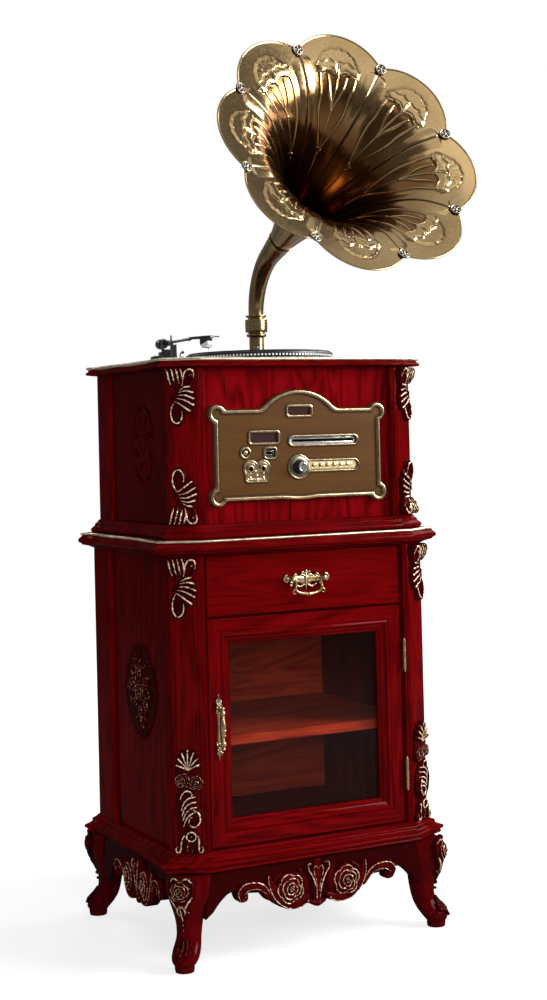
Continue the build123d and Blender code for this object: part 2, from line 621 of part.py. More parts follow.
def tonearm():
    """Arm base, swivelling yoke, and the arm with its weight and pickup head."""
    base = rod(ARM_X, ARM_Y, DECK_Z, DECK_Z + 6, 32) + rod(ARM_X, ARM_Y, DECK_Z + 6, DECK_Z + 26, 13)
    base -= rod(ARM_X, ARM_Y, DECK_Z + 4, DECK_Z + 30, 4 + FIT)
    keep("arm_base", base)
    yoke = rod(ARM_X, ARM_Y, DECK_Z + 6, DECK_Z + 26.5, 4)
    yoke += rod(ARM_X, ARM_Y, DECK_Z + 26.3, DECK_Z + 30, 11)
    # the arm is drawn along +X from its pivot, then turned to its parked direction
    ears = block(-5, 5, -11, -8, DECK_Z + 30, ARM_Z + 6) + block(-5, 5, 8, 11, DECK_Z + 30, ARM_Z + 6)
    ears -= rod_y(0, -12, 12, ARM_Z, 1.5 + FIT)
    turn = Pos(ARM_X, ARM_Y, 0) * Rot(0, 0, ARM_ANGLE)
    yoke += turn * ears
    keep("arm_gimbal", yoke)
    tube = rod_x(-34, ARM_TUBE, 0, ARM_Z, 3) + block(-7, 7, -7.5, 7.5, ARM_Z - 5, ARM_Z + 5)
    tube += rod_y(0, -11, 11, ARM_Z, 1.5)
    keep("arm_tube", turn * tube)
    weight = rod_x(-45, -20, 0, ARM_Z, 11) - rod_x(-50, -10, 0, ARM_Z, 3)
    keep("counterweight", turn * weight)
    head = block(0, HEAD_LENGTH, -8, 8, ARM_Z - 3, ARM_Z + 3)
    head += block(HEAD_LENGTH - 26, HEAD_LENGTH - 6, -6, 6, ARM_Z - 19, ARM_Z - 3)
    stylus = Cone(0.6, 2, 3.5, align=STANDING)
    head += Pos(HEAD_LENGTH - 10, 0, ARM_Z - 22.3) * stylus
    joint = Pos(ARM_TUBE, 0, 0) * Rot(0, 0, HEAD_OFFSET)
    keep("headshell", turn * (joint * head - rod_x(0, ARM_TUBE + 1, 0, ARM_Z, 3.02)))
    rest = block(36, 48, -9, 2, DECK_Z, DECK_Z + 3) + block(40, 44, -7.5, -4.6, DECK_Z + 3, ARM_Z + 12)
    rest += block(40, 44, -5, 3, ARM_Z - 8, ARM_Z - 5)
    keep("arm_rest", turn * rest)


# ---------------------------------------------------------------- horn
def mouth_plane():
    """Plane of the rivet ring, its z direction out of the mouth."""
    tilt = radians(HORN_TILT)
    turn = radians(90 - HORN_TILT)
    bend_y = HORN_Y - ELBOW_R * (1 - cos(turn))
    bend_z = ELBOW_START_Z + ELBOW_R * sin(turn)
    y = bend_y - MOUTH_RUN * cos(tilt)
    z = bend_z + MOUTH_RUN * sin(tilt)
    return Plane(origin=(HORN_X, y, z), x_dir=(1, 0, 0), z_dir=(0, -cos(tilt), sin(tilt)))


def elbow_loft(radii, start, run):
    """Tapered bent pipe: sections along the bend, then a straight run."""
    turn = 90 - HORN_TILT
    sections = []
    steps = len(radii) - 2
    for i, radius in enumerate(radii[:-1]):
        angle = radians(turn * i / steps)
        y = HORN_Y - ELBOW_R * (1 - cos(angle))
        z = ELBOW_START_Z + ELBOW_R * sin(angle)
        plane = Plane(origin=(HORN_X, y, z), x_dir=(1, 0, 0), z_dir=(0, -sin(angle), cos(angle)))
        sections.append(plane * Circle(radius))
    last = Plane(origin=plane.origin + plane.z_dir * run, x_dir=(1, 0, 0), z_dir=plane.z_dir)
    sections.append(last * Circle(radii[-1]))
    pipe = loft(sections)
    return pipe + rod(HORN_X, HORN_Y, start, ELBOW_START_Z, radii[0])


def horn_pipe():
    x = HORN_X
    y = HORN_Y
    socket = rod(x, y, DECK_Z, DECK_Z + 5, 20) + rod(x, y, DECK_Z + 5, 1090, 14.2)
    socket += rod(x, y, 1084.5, 1090, 19)
    socket -= rod(x, y, DECK_Z + 8, 1091, SPIGOT_R + FIT)
    socket -= rod(x, y, DECK_Z - 1, DECK_Z + 9, PIPE_BORE_R)
    keep("horn_socket", socket)
    outer = elbow_loft([14.5, 15.4, 16.4, 17.5, 18.7, 20.0, 24.0], 1118, NECK_RUN)
    inner = elbow_loft([12.9, 13.8, 14.8, 15.9, 17.1, 18.4, 22.5], 1110, NECK_RUN + 0.4)
    elbow = outer - inner
    collar = rod(x, y, 1090.2, 1094, 16) + rod(x, y, 1094, 1118.5, 21.4) + rod(x, y, 1118.5, 1123.5, 17)
    collar += rod(x, y, 1123.5, 1126.5, 20.3) + rod(x, y, 1040, 1090.2, SPIGOT_R)
    collar -= rod(x, y, 1039, 1127, PIPE_BORE_R)
    keep("horn_elbow", elbow - rod(x, y, 1110, 1126.5, 22), collar)


BELL = [(22.6, -291), (26, -280), (32.5, -250), (40.5, -220), (49.5, -190), (60.5, -160),
        (71, -135), (83, -111), (95, -90), (105, -75), (116.5, -60), (130, -45), (146, -30),
        (164, -18), (190, -8), (218, 0), (240, 5), (256, 8)]


def bell_profile():
    """Closed section of the horn's wall as (radius, height along the mouth's axis)."""
    front = Spline(*[(r, 0, h) for r, h in BELL])
    back_points = []
    for i, (r, h) in enumerate(BELL):
        r0, h0 = BELL[max(i - 1, 0)]
        r1, h1 = BELL[min(i + 1, len(BELL) - 1)]
        length = hypot(r1 - r0, h1 - h0)
        back_points.append((r + SHEET_T * (h1 - h0) / length, 0, h - SHEET_T * (r1 - r0) / length))
    back = Spline(*back_points)
    return make_face([front, back, Line(front @ 0, back @ 0), Line(front @ 1, back @ 1)])


def horn():
    """Eight sheet petals, each a slice of the bell with a round lobe, and their seam rivets."""
    pitch = 360 / PETALS
    seam = radians(pitch / 2)
    notch_r = 222.0
    seam_gap = 0.3
    sector = revolve(bell_profile(), axis=Axis.Z, revolution_arc=pitch - seam_gap)
    sector = Rot(0, 0, -(pitch - seam_gap) / 2) * sector
    notch_x = notch_r * cos(seam)
    notch_y = notch_r * sin(seam)
    lobe_centre = (LOBE_R**2 - notch_x**2 - notch_y**2) / (2 * (LOBE_R - notch_x))
    lobe = Pos(lobe_centre, 0, -145) * Cylinder(LOBE_R - lobe_centre, 320)
    wedge = prism_z([(0, 0), (notch_x, -notch_y), (notch_x, notch_y)], -305, 15)
    petal = sector & (lobe + wedge)
    tail = sector & block(0, 30, -20, 20, -305, -200)
    petal += tail
    place = mouth_plane().location
    petals = []
    rivets = []
    for i in range(PETALS):
        petals.append(place * Rot(0, 0, PETAL_PHASE + pitch * (i + 0.5)) * petal)
        rivet = Pos(RIVET_RING_R, 0, 2.6) * Rot(0, -14, 0) * Cylinder(8, 2.6)
        rivets.append(place * Rot(0, 0, PETAL_PHASE + pitch * i) * rivet)
    keep("horn_petals", *petals)
    keep("horn_rivets", *rivets)


# ---------------------------------------------------------------- build
def build():
    legs()
    aprons()
    base_board()
    lower_carcase()
    shelves_and_top()
    drawer()
    drawer_pull()
    door()
    door_handle()
    hinges()
    console_case()
    carvings()
    base_carvings()
    fascia()
    knob_and_buttons()
    electronics()
    power_inlet()
    deck()
    tonearm()
    horn_pipe()
    horn()


build()
os.makedirs("parts", exist_ok=True)
shift = Pos(-ORIGIN_X, -ORIGIN_Y, 0)
for name, solids in parts.items():
    placed = [shift * solid for solid in solids]
    node = placed[0] if len(placed) == 1 else Compound(children=placed)
    export_step(node, f"parts/{name}.step")
print(len(parts), "nodes")
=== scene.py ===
"""Looks of the horn gramophone cabinet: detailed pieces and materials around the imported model.

Points are in millimetres in the cabinet's own frame: the origin is on the floor below the
cabinet's middle, +Z is up and the front faces -Y.  to_part() turns them into the part's metres.
"""

import bpy
import math
import numpy as np
from mathutils import Matrix, Vector


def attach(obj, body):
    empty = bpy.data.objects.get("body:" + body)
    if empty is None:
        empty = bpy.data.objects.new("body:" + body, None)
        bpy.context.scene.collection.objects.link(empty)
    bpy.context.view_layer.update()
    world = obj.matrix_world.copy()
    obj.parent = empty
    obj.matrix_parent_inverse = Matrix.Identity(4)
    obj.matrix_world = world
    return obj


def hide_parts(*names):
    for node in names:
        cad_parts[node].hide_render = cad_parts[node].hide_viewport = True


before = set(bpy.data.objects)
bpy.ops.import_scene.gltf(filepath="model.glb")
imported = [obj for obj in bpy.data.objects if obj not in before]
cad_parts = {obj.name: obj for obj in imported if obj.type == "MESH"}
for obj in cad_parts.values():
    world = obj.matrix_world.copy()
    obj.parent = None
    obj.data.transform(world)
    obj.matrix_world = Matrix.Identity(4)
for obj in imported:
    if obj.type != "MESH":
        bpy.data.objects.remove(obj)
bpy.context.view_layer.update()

ORIGIN = np.array([29.2, -70.9, 0.0])
LOWER = (250.0, 200.0)          # half width and half depth of the lower cabinet
UPPER = (240.0, 190.0)
CANT = (42.0, 24.0)             # how far a front corner is cut back in x and in y
BASE, SLAB, CONSOLE = 158, 690, 742     # heights where the parts of the case meet
SIDE_Y = -28                    # middle of a side's ornament


def to_part(points):
    return (np.asarray(points, float) - ORIGIN) / 1000


# ---------------------------------------------------------------- materials
def new_material(name, **values):
    mat = bpy.data.materials.new(name)
    mat.use_nodes = True
    shader = mat.node_tree.nodes["Principled BSDF"]
    for key, value in values.items():
        shader.inputs[key.replace("_", " ")].default_value = value
    return mat, mat.node_tree, shader


def node(tree, kind, inputs=(), **settings):
    made = tree.nodes.new("ShaderNode" + kind)
    for key, value in settings.items():
        setattr(made, key, value)
    for key, value in dict(inputs).items():
        if isinstance(value, bpy.types.NodeSocket):
            tree.links.new(value, made.inputs[key])
        else:
            made.inputs[key].default_value = value
    return made


def noise(tree, vector, scale, detail, rough=0.55, distortion=0.0):
    return node(tree, "TexNoise", {"Vector": vector, "Scale": scale, "Detail": detail,
                                   "Roughness": rough, "Distortion": distortion}).outputs["Fac"]


def maths(tree, operation, a, b=0.0):
    return node(tree, "Math", {0: a, 1: b}, operation=operation).outputs[0]


def mix(tree, factor, a, b):
    return node(tree, "Mix", {0: factor, 6: a, 7: b}, data_type="RGBA").outputs[2]


def span(tree, value, low, high, out_low=0.0, out_high=1.0):
    return node(tree, "MapRange", {0: value, 1: low, 2: high, 3: out_low, 4: out_high}).outputs[0]


def stretched(tree, scale):
    coords = node(tree, "TexCoord").outputs["Object"]
    return node(tree, "Mapping", {"Vector": coords, "Scale": scale}).outputs[0]


def bump(tree, shader, height, strength, distance):
    made = node(tree, "Bump", {"Height": height, "Strength": strength, "Distance": distance})
    tree.links.new(made.outputs[0], shader.inputs["Normal"])


def rgb(r, g, b):
    return (r, g, b, 1.0)


def circle(count):
    """Angles evenly round a full turn."""
    return np.arange(count) * 2 * math.pi / count


def spread(values, count):
    """One value, or a few evenly spaced ones, as count values."""
    return np.interp(np.linspace(0, 1, count), np.linspace(0, 1, np.size(values)), np.atleast_1d(values))


def place_object(name, data):
    obj = bpy.data.objects.new(name, data)
    bpy.context.scene.collection.objects.link(obj)
    return obj


def attribute(tree, name):
    return node(tree, "Attribute", attribute_name=name).outputs["Fac"]


GILT = rgb(0.97, 0.76, 0.50)


def lacquered(name, along, dark=rgb(0.020, 0.0003, 0.0004), mid=rgb(0.074, 0.0006, 0.0009),
              bright=rgb(0.132, 0.0012, 0.002), figure=1.0, gilt_and_painted_highlight=False):
    """High gloss red lacquer over open grained wood; the grain runs along one axis."""
    mat, tree, shader = new_material(name, Coat_Weight=0.07, Coat_Roughness=0.06, Coat_IOR=1.4,
                                     Specular_IOR_Level=0.0)
    axis = "XYZ".index(along)
    slow, fine, hair = [11.0] * 3, [420.0] * 3, [800.0] * 3
    slow[axis], fine[axis], hair[axis] = 1.6, 10.0, 30.0
    drift = noise(tree, stretched(tree, slow), 1.0, 2.0, 0.5, 0.5)
    pores = noise(tree, stretched(tree, fine), 1.0, 3.0, 0.6)
    hairs = noise(tree, stretched(tree, hair), 1.0, 2.0, 0.5)
    rings = node(tree, "Math", {0: maths(tree, "MULTIPLY", drift, 70.0)}, operation="SINE").outputs[0]
    rings = span(tree, rings, -1.0, 1.0, 0.0, 0.22 * figure)
    grain = maths(tree, "ADD", maths(tree, "MULTIPLY", pores, 0.75), maths(tree, "MULTIPLY", hairs, 0.35))
    tone = maths(tree, "ADD", rings, grain)
    ramp = node(tree, "ValToRGB", {"Fac": tone})
    stops = ramp.color_ramp.elements
    stops[0].position, stops[0].color = 0.40, dark
    stops[1].position, stops[1].color = 0.84, bright
    middle = stops.new(0.54)
    middle.color = mid
    cloud = noise(tree, stretched(tree, (3.0, 3.0, 3.0)), 1.0, 2.0)
    colour = mix(tree, span(tree, cloud, 0.35, 0.7, 0.0, 0.35), ramp.outputs[0], dark)
    rough = span(tree, pores, 0.3, 0.7, 0.45, 0.30)
    if gilt_and_painted_highlight:
        rubbed = noise(tree, stretched(tree, (260.0, 260.0, 260.0)), 1.0, 3.0)
        level = maths(tree, "ADD", attribute(tree, "gilt_and_painted_highlight"), maths(tree, "MULTIPLY", rubbed, 0.6))
        cover = span(tree, level, 1.19, 1.34)
        # the low attribute darkens the carving's hollows: painted shade
        low = attribute(tree, "low")
        colour = mix(tree, maths(tree, "MULTIPLY", low, 0.85), colour, rgb(0.008, 0.0004, 0.0004))
        colour = mix(tree, cover, colour, GILT)
        tree.links.new(maths(tree, "MULTIPLY", cover, 0.5), shader.inputs["Metallic"])
        rough = maths(tree, "MULTIPLY", rough, span(tree, cover, 0.0, 1.0, 1.0, 0.75))
    tree.links.new(colour, shader.inputs["Base Color"])
    tree.links.new(rough, shader.inputs["Roughness"])
    bump(tree, shader, tone, 0.12, 0.0005)
    return mat


def metal(name, low, high, rough, brush=(60.0, 60.0, 60.0), depth=0.0003, attr=None):
    """Metal with brushing, cloudy tarnish and, on relief, darker hollows and brighter crests, which on the
    horn and the rivets are painted shade and a painted highlight.
    """
    mat, tree, shader = new_material(name, Metallic=1.0)
    lines = noise(tree, stretched(tree, brush), 1.0, 4.0, 0.7)
    cloud = noise(tree, stretched(tree, (14.0, 14.0, 14.0)), 1.0, 3.0, 0.6)
    colour = mix(tree, span(tree, maths(tree, "ADD", lines, cloud), 0.75, 1.25), low, high)
    if attr:
        hollow, crest = attr
        colour = mix(tree, maths(tree, "MULTIPLY", attribute(tree, "low"), 0.85), colour, hollow)
        colour = mix(tree, span(tree, attribute(tree, "gilt_and_painted_highlight"), 0.45, 1.0, 0.0, 0.8), colour, crest)
    tree.links.new(colour, shader.inputs["Base Color"])
    tree.links.new(span(tree, lines, 0.3, 0.7, *rough), shader.inputs["Roughness"])
    bump(tree, shader, lines, 0.25, depth)
    return mat


def plain(name, colour, rough, speck=0.15, grain=300.0, **values):
    """Moulded plastic, rubber or paint with fine mottling."""
    mat, tree, shader = new_material(name, **values)
    speckle = noise(tree, stretched(tree, (grain, grain, grain)), 1.0, 3.0)
    darker = rgb(*[c * (1 - speck) for c in colour[:3]])
    tree.links.new(mix(tree, speckle, darker, colour), shader.inputs["Base Color"])
    tree.links.new(span(tree, speckle, 0.3, 0.7, rough * 0.85, rough * 1.15), shader.inputs["Roughness"])
    bump(tree, shader, speckle, 0.12, 0.0002)
    return mat


WOOD_Z = lacquered("mahogany_upright", "Z")
WOOD_X = lacquered("mahogany_level", "X")
CONSOLE_WOOD = lacquered("mahogany_console", "Z", dark=rgb(0.022, 0.0003, 0.0006),
                         mid=rgb(0.095, 0.0008, 0.0014), bright=rgb(0.175, 0.0018, 0.0035), figure=1.3)
CARVED = lacquered("mahogany_carved", "Z", dark=rgb(0.026, 0.0003, 0.0006), mid=rgb(0.060, 0.0006, 0.0012),
                   bright=rgb(0.105, 0.0012, 0.0024), figure=0.3, gilt_and_painted_highlight=True)
BRACKET = lacquered("mahogany_bracket", "Z", dark=rgb(0.014, 0.0003, 0.0005),
                    mid=rgb(0.040, 0.0005, 0.0009), bright=rgb(0.085, 0.0010, 0.0020), figure=0.3,
                    gilt_and_painted_highlight=True)
INNER = lacquered("inner_wood", "X", dark=rgb(0.06, 0.005, 0.002), mid=rgb(0.22, 0.013, 0.004),
                  bright=rgb(0.36, 0.034, 0.010))
GILT_LINE = metal("gilt_line", rgb(0.50, 0.37, 0.22), rgb(0.95, 0.82, 0.62), (0.25, 0.40))
# horn: the hollow colour is painted shade in the throat and hollows and a painted dimmer reflection in the
# inner bell; the crest colour is a painted highlight on the embossing
HORN = metal("horn_brass", rgb(0.30, 0.20, 0.09), rgb(0.39, 0.27, 0.13), (0.13, 0.21),
             (200.0, 26.0, 200.0), 0.00004,
             attr=(rgb(0.105, 0.036, 0.007), rgb(0.52, 0.38, 0.20)))
HORN_SEAM = metal("horn_seam", rgb(0.02, 0.012, 0.006), rgb(0.07, 0.045, 0.02), (0.3, 0.45))
PIPE = metal("pipe_brass", rgb(0.20, 0.13, 0.055), rgb(0.40, 0.29, 0.14), (0.16, 0.28),
             (300.0, 300.0, 20.0))
ANTIQUE = metal("antique_brass", rgb(0.30, 0.21, 0.10), rgb(0.56, 0.42, 0.24), (0.22, 0.38),
                attr=(rgb(0.03, 0.018, 0.008), rgb(0.88, 0.74, 0.50)))
# rivets: the hollow colour is painted shade and the crest colour a painted highlight
RIVET_METAL = metal("rivet_metal", rgb(0.15, 0.13, 0.10), rgb(0.34, 0.30, 0.24), (0.22, 0.36),
                    attr=(rgb(0.03, 0.022, 0.015), rgb(0.55, 0.50, 0.42)))
CHROME = metal("chrome", rgb(0.62, 0.62, 0.62), rgb(0.86, 0.86, 0.86), (0.10, 0.2))
DIAL_METAL = metal("dial_metal", rgb(0.10, 0.09, 0.075), rgb(0.30, 0.27, 0.22), (0.25, 0.4))
STEEL = metal("satin_steel", rgb(0.35, 0.35, 0.36), rgb(0.55, 0.55, 0.56), (0.3, 0.45))
BLACK = plain("black_plastic", rgb(0.012, 0.012, 0.013), 0.28, Coat_Weight=0.3)
MATT_BLACK = plain("matt_black", rgb(0.010, 0.010, 0.010), 0.75)
PLATTER_BLACK = plain("platter_black", rgb(0.012, 0.012, 0.013), 0.42, Coat_Weight=0.08)
RUBBER = plain("rubber", rgb(0.014, 0.014, 0.014), 0.8)
WHITE = plain("white_plastic", rgb(0.80, 0.80, 0.78), 0.35, 0.04)
DARK_PANE = plain("dark_pane", rgb(0.030, 0.006, 0.006), 0.08, Coat_Weight=1.0)
CREAM = plain("cream_gold", rgb(0.66, 0.52, 0.28), 0.33, 0.2, 500.0, Metallic=0.6)
INK = plain("dial_ink", rgb(0.02, 0.015, 0.01), 0.5)


def fascia_material():
    mat, tree, shader = new_material("fascia_bronze", Specular_IOR_Level=0.12)
    lines = noise(tree, stretched(tree, (18.0, 18.0, 900.0)), 1.0, 5.0, 0.7)
    broad = noise(tree, stretched(tree, (5.0, 5.0, 60.0)), 1.0, 3.0, 0.6)
    field = mix(tree, lines, rgb(0.030, 0.010, 0.0004), rgb(0.115, 0.042, 0.0022))
    field = mix(tree, span(tree, broad, 0.35, 0.65, 0.0, 0.5), field, rgb(0.042, 0.015, 0.0008))
    raised = attribute(tree, "gilt_and_painted_highlight")
    worn = mix(tree, noise(tree, stretched(tree, (120.0, 120.0, 120.0)), 1.0, 3.0),
               rgb(0.17, 0.11, 0.055), rgb(0.56, 0.42, 0.25))
    colour = mix(tree, span(tree, raised, 0.2, 0.6), field, worn)
    # the low attribute darkens the grooves inside the rim and round the beads: painted shade
    colour = mix(tree, maths(tree, "MULTIPLY", attribute(tree, "low"), 0.9), colour,
                 rgb(0.02, 0.010, 0.004))
    tree.links.new(colour, shader.inputs["Base Color"])
    tree.links.new(span(tree, raised, 0.2, 0.6, 0.1, 1.0), shader.inputs["Metallic"])
    tree.links.new(span(tree, raised, 0.2, 0.6, 0.5, 0.24), shader.inputs["Roughness"])
    bump(tree, shader, lines, 0.2, 0.0001)
    return mat


FASCIA = fascia_material()


def glass_material():
    mat, tree, shader = new_material("door_glass", Roughness=0.02, Alpha=0.08, IOR=1.5, Coat_Weight=0.2,
                                     Coat_Roughness=0.01)
    smear = noise(tree, stretched(tree, (5.0, 5.0, 5.0)), 1.0, 2.0)
    tree.links.new(mix(tree, smear, rgb(0.004, 0.005, 0.004), rgb(0.010, 0.012, 0.010)),
                   shader.inputs["Base Color"])
    return mat


GLASS = glass_material()


# ---------------------------------------------------------------- meshes
class Geo:
    """Vertices in cabinet millimetres, faces, a material index and per vertex crest values (gilding on
    wood, a painted highlight on metal) and low values (painted shade in hollows).
    """

    def __init__(self, verts, faces, mat=0, gilt_and_painted_highlight=None, low=None):
        self.verts = np.asarray(verts, float).reshape(-1, 3)
        self.faces = faces
        self.mat = mat
        self.gilt_and_painted_highlight = gilt_and_painted_highlight
        self.low = low

    def moved(self, change):
        return Geo(change(self.verts.copy()), self.faces, self.mat, self.gilt_and_painted_highlight, self.low)

    def mirrored(self, way=(-1, 1, 1)):
        return Geo(self.verts * way, self.faces, self.mat, self.gilt_and_painted_highlight, self.low)

    def outward(self):
        """Faces wound so that the surface points out of the solid."""
        if isinstance(self.faces, np.ndarray):
            groups = [self.faces]
        else:
            sizes = {len(face) for face in self.faces}
            groups = [np.array([face for face in self.faces if len(face) == size]) for size in sizes]
        volume = 0.0
        for group in groups:
            first = self.verts[group[:, 0]]
            for k in range(1, group.shape[1] - 1):
                volume += (first * np.cross(self.verts[group[:, k]], self.verts[group[:, k + 1]])).sum()
        if volume > 0:
            return self.faces
        if isinstance(self.faces, np.ndarray):
            return self.faces[:, ::-1]
        return [list(face)[::-1] for face in self.faces]


def piece(name, body, materials, geos, replaces=(), slot=None, bevel=0.0, sharp=38.0, attributes=False):
    """One object from several geos, riding on a body."""
    verts, faces, mats, gilt_and_painted_highlight, low = [], [], [], [], []
    count = 0
    for geo in geos:
        verts.append(geo.verts)
        wound = geo.outward()
        if isinstance(wound, np.ndarray):
            faces += (wound + count).tolist()
        else:
            faces += [[i + count for i in face] for face in wound]
        mats += [geo.mat] * len(geo.faces) if np.isscalar(geo.mat) else list(geo.mat)
        gilt_and_painted_highlight.append(np.zeros(len(geo.verts)) if geo.gilt_and_painted_highlight is None else geo.gilt_and_painted_highlight)
        low.append(np.zeros(len(geo.verts)) if geo.low is None else geo.low)
        count += len(geo.verts)
    mesh = bpy.data.meshes.new(name)
    mesh.from_pydata(to_part(np.concatenate(verts)).tolist(), [], faces)
    for mat in materials:
        mesh.materials.append(mat)
    mesh.polygons.foreach_set("material_index", mats)
    if attributes:
        for key, values in (("gilt_and_painted_highlight", gilt_and_painted_highlight), ("low", low)):
            made = mesh.attributes.new(key, "FLOAT", "POINT")
            made.data.foreach_set("value", np.concatenate(values).astype(np.float32))
    mesh.shade_smooth()
    mesh.set_sharp_from_angle(angle=math.radians(sharp))
    obj = place_object(name, mesh)
    if bevel:
        edge = obj.modifiers.new("Bevel", "BEVEL")
        edge.width = bevel / 1000
        edge.segments = 3
        edge.limit_method = "ANGLE"
        edge.angle_limit = math.radians(32)
        edge.use_clamp_overlap = True
    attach(obj, body)
    if replaces:
        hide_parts(*replaces)


def looks(name, body, materials, geos, **options):
    """A piece that stands for the CAD node of that name."""
    piece(name + "_looks", body, materials, geos, [name], **options)


def grid_faces(n, m, wrap_n=False, wrap_m=False):
    """Quads over an n by m grid of points, closed round either way if asked."""
    i = np.arange(n if wrap_n else n - 1)[:, None]
    j = np.arange(m if wrap_m else m - 1)[None, :]
    i1 = (i + 1) % n
    j1 = (j + 1) % m
    return np.stack([i * m + j, i * m + j1, i1 * m + j1, i1 * m + j], -1).reshape(-1, 4)


def loft(rings, mat=0, closed=False):
    """Skin over closed rings, an (n, m, 3) array."""
    rings = np.asarray(rings, float)
    n, m = rings.shape[:2]
    faces = grid_faces(n, m, closed, True).tolist()
    if not closed:
        faces.append(list(range(m))[::-1])
        faces.append([(n - 1) * m + j for j in range(m)])
    return Geo(rings.reshape(-1, 3), faces, mat)


def lathe(profile, origin, axis="Z", sides=48, mat=0, wave=None):
    """Turned solid: profile is (radius, height); one that stays off the axis closes into a ring."""
    profile = np.array([(max(r, 0.01), h) for r, h in profile])
    angle = circle(sides)
    r = profile[:, 0][:, None] * (np.ones(sides) if wave is None else 1 + wave(angle)[None, :])
    h = np.broadcast_to(profile[:, 1][:, None], r.shape)
    a, b = r * np.cos(angle), r * np.sin(angle)
    rings = {"Z": (a, b, h), "Y": (a, h, -b), "X": (h, a, b)}[axis]
    hollow = min(profile[0, 0], profile[-1, 0]) > 0.02
    return loft(np.stack(rings, -1) + np.asarray(origin, float), mat, closed=hollow)


def spline(points, per):
    """Smooth curve through points of any dimension."""
    p = np.asarray(points, float)
    if len(p) < 3:
        t = np.linspace(0, 1, per + 1)[:, None]
        return p[0] * (1 - t) + p[-1] * t
    p = np.vstack([2 * p[0] - p[1], p, 2 * p[-1] - p[-2]])
    t = np.linspace(0, 1, per, endpoint=False)[:, None]
    out = []
    for a, b, c, d in zip(p, p[1:], p[2:], p[3:]):
        out.append(0.5 * (2 * b + (c - a) * t + (2 * a - 5 * b + 4 * c - d) * t**2
                          + (3 * b - a - 3 * c + d) * t**3))
    return np.vstack(out + [p[-2][None]])


def tube(path, radius, sides):
    """Round bar along a path; radius may vary along it."""
    path = np.asarray(path, float)
    radius = spread(radius, len(path))
    tangent = np.gradient(path, axis=0)
    tangent /= np.linalg.norm(tangent, axis=1)[:, None]
    normal = np.cross(tangent[0], (0.31, 0.17, 0.93))
    rings = []
    angle = circle(sides)
    for p, t, r in zip(path, tangent, radius):
        normal = normal - t * (normal @ t)
        normal /= np.linalg.norm(normal)
        side = np.cross(t, normal)
        rings.append(p + r * (np.cos(angle)[:, None] * normal + np.sin(angle)[:, None] * side))
    return loft(rings)


def ball(centre, radius, sides=16, squash=(1, 1, 1)):
    steps = np.linspace(-math.pi / 2, math.pi / 2, 9)
    geo = lathe([(radius * math.cos(t), radius * math.sin(t)) for t in steps], (0, 0, 0), sides=sides)
    geo.verts = geo.verts * squash + np.asarray(centre, float)
    return geo


def prism(outline, low, high, axis="Z", mat=0):
    """Solid over a closed outline of 2-D points: XY for axis Z, XZ for Y, YZ for X."""
    outline = np.asarray(outline, float)
    rings = []
    for level in (low, high):
        column = np.full(len(outline), float(level))
        a, b = outline.T
        rings.append(np.stack({"Z": (a, b, column), "Y": (a, column, b), "X": (column, a, b)}[axis], -1))
    return loft(rings, mat)


def brick(x0, x1, y0, y1, z0, z1, mat=0):
    return prism([(x0, y0), (x1, y0), (x1, y1), (x0, y1)], z0, z1, "Z", mat)


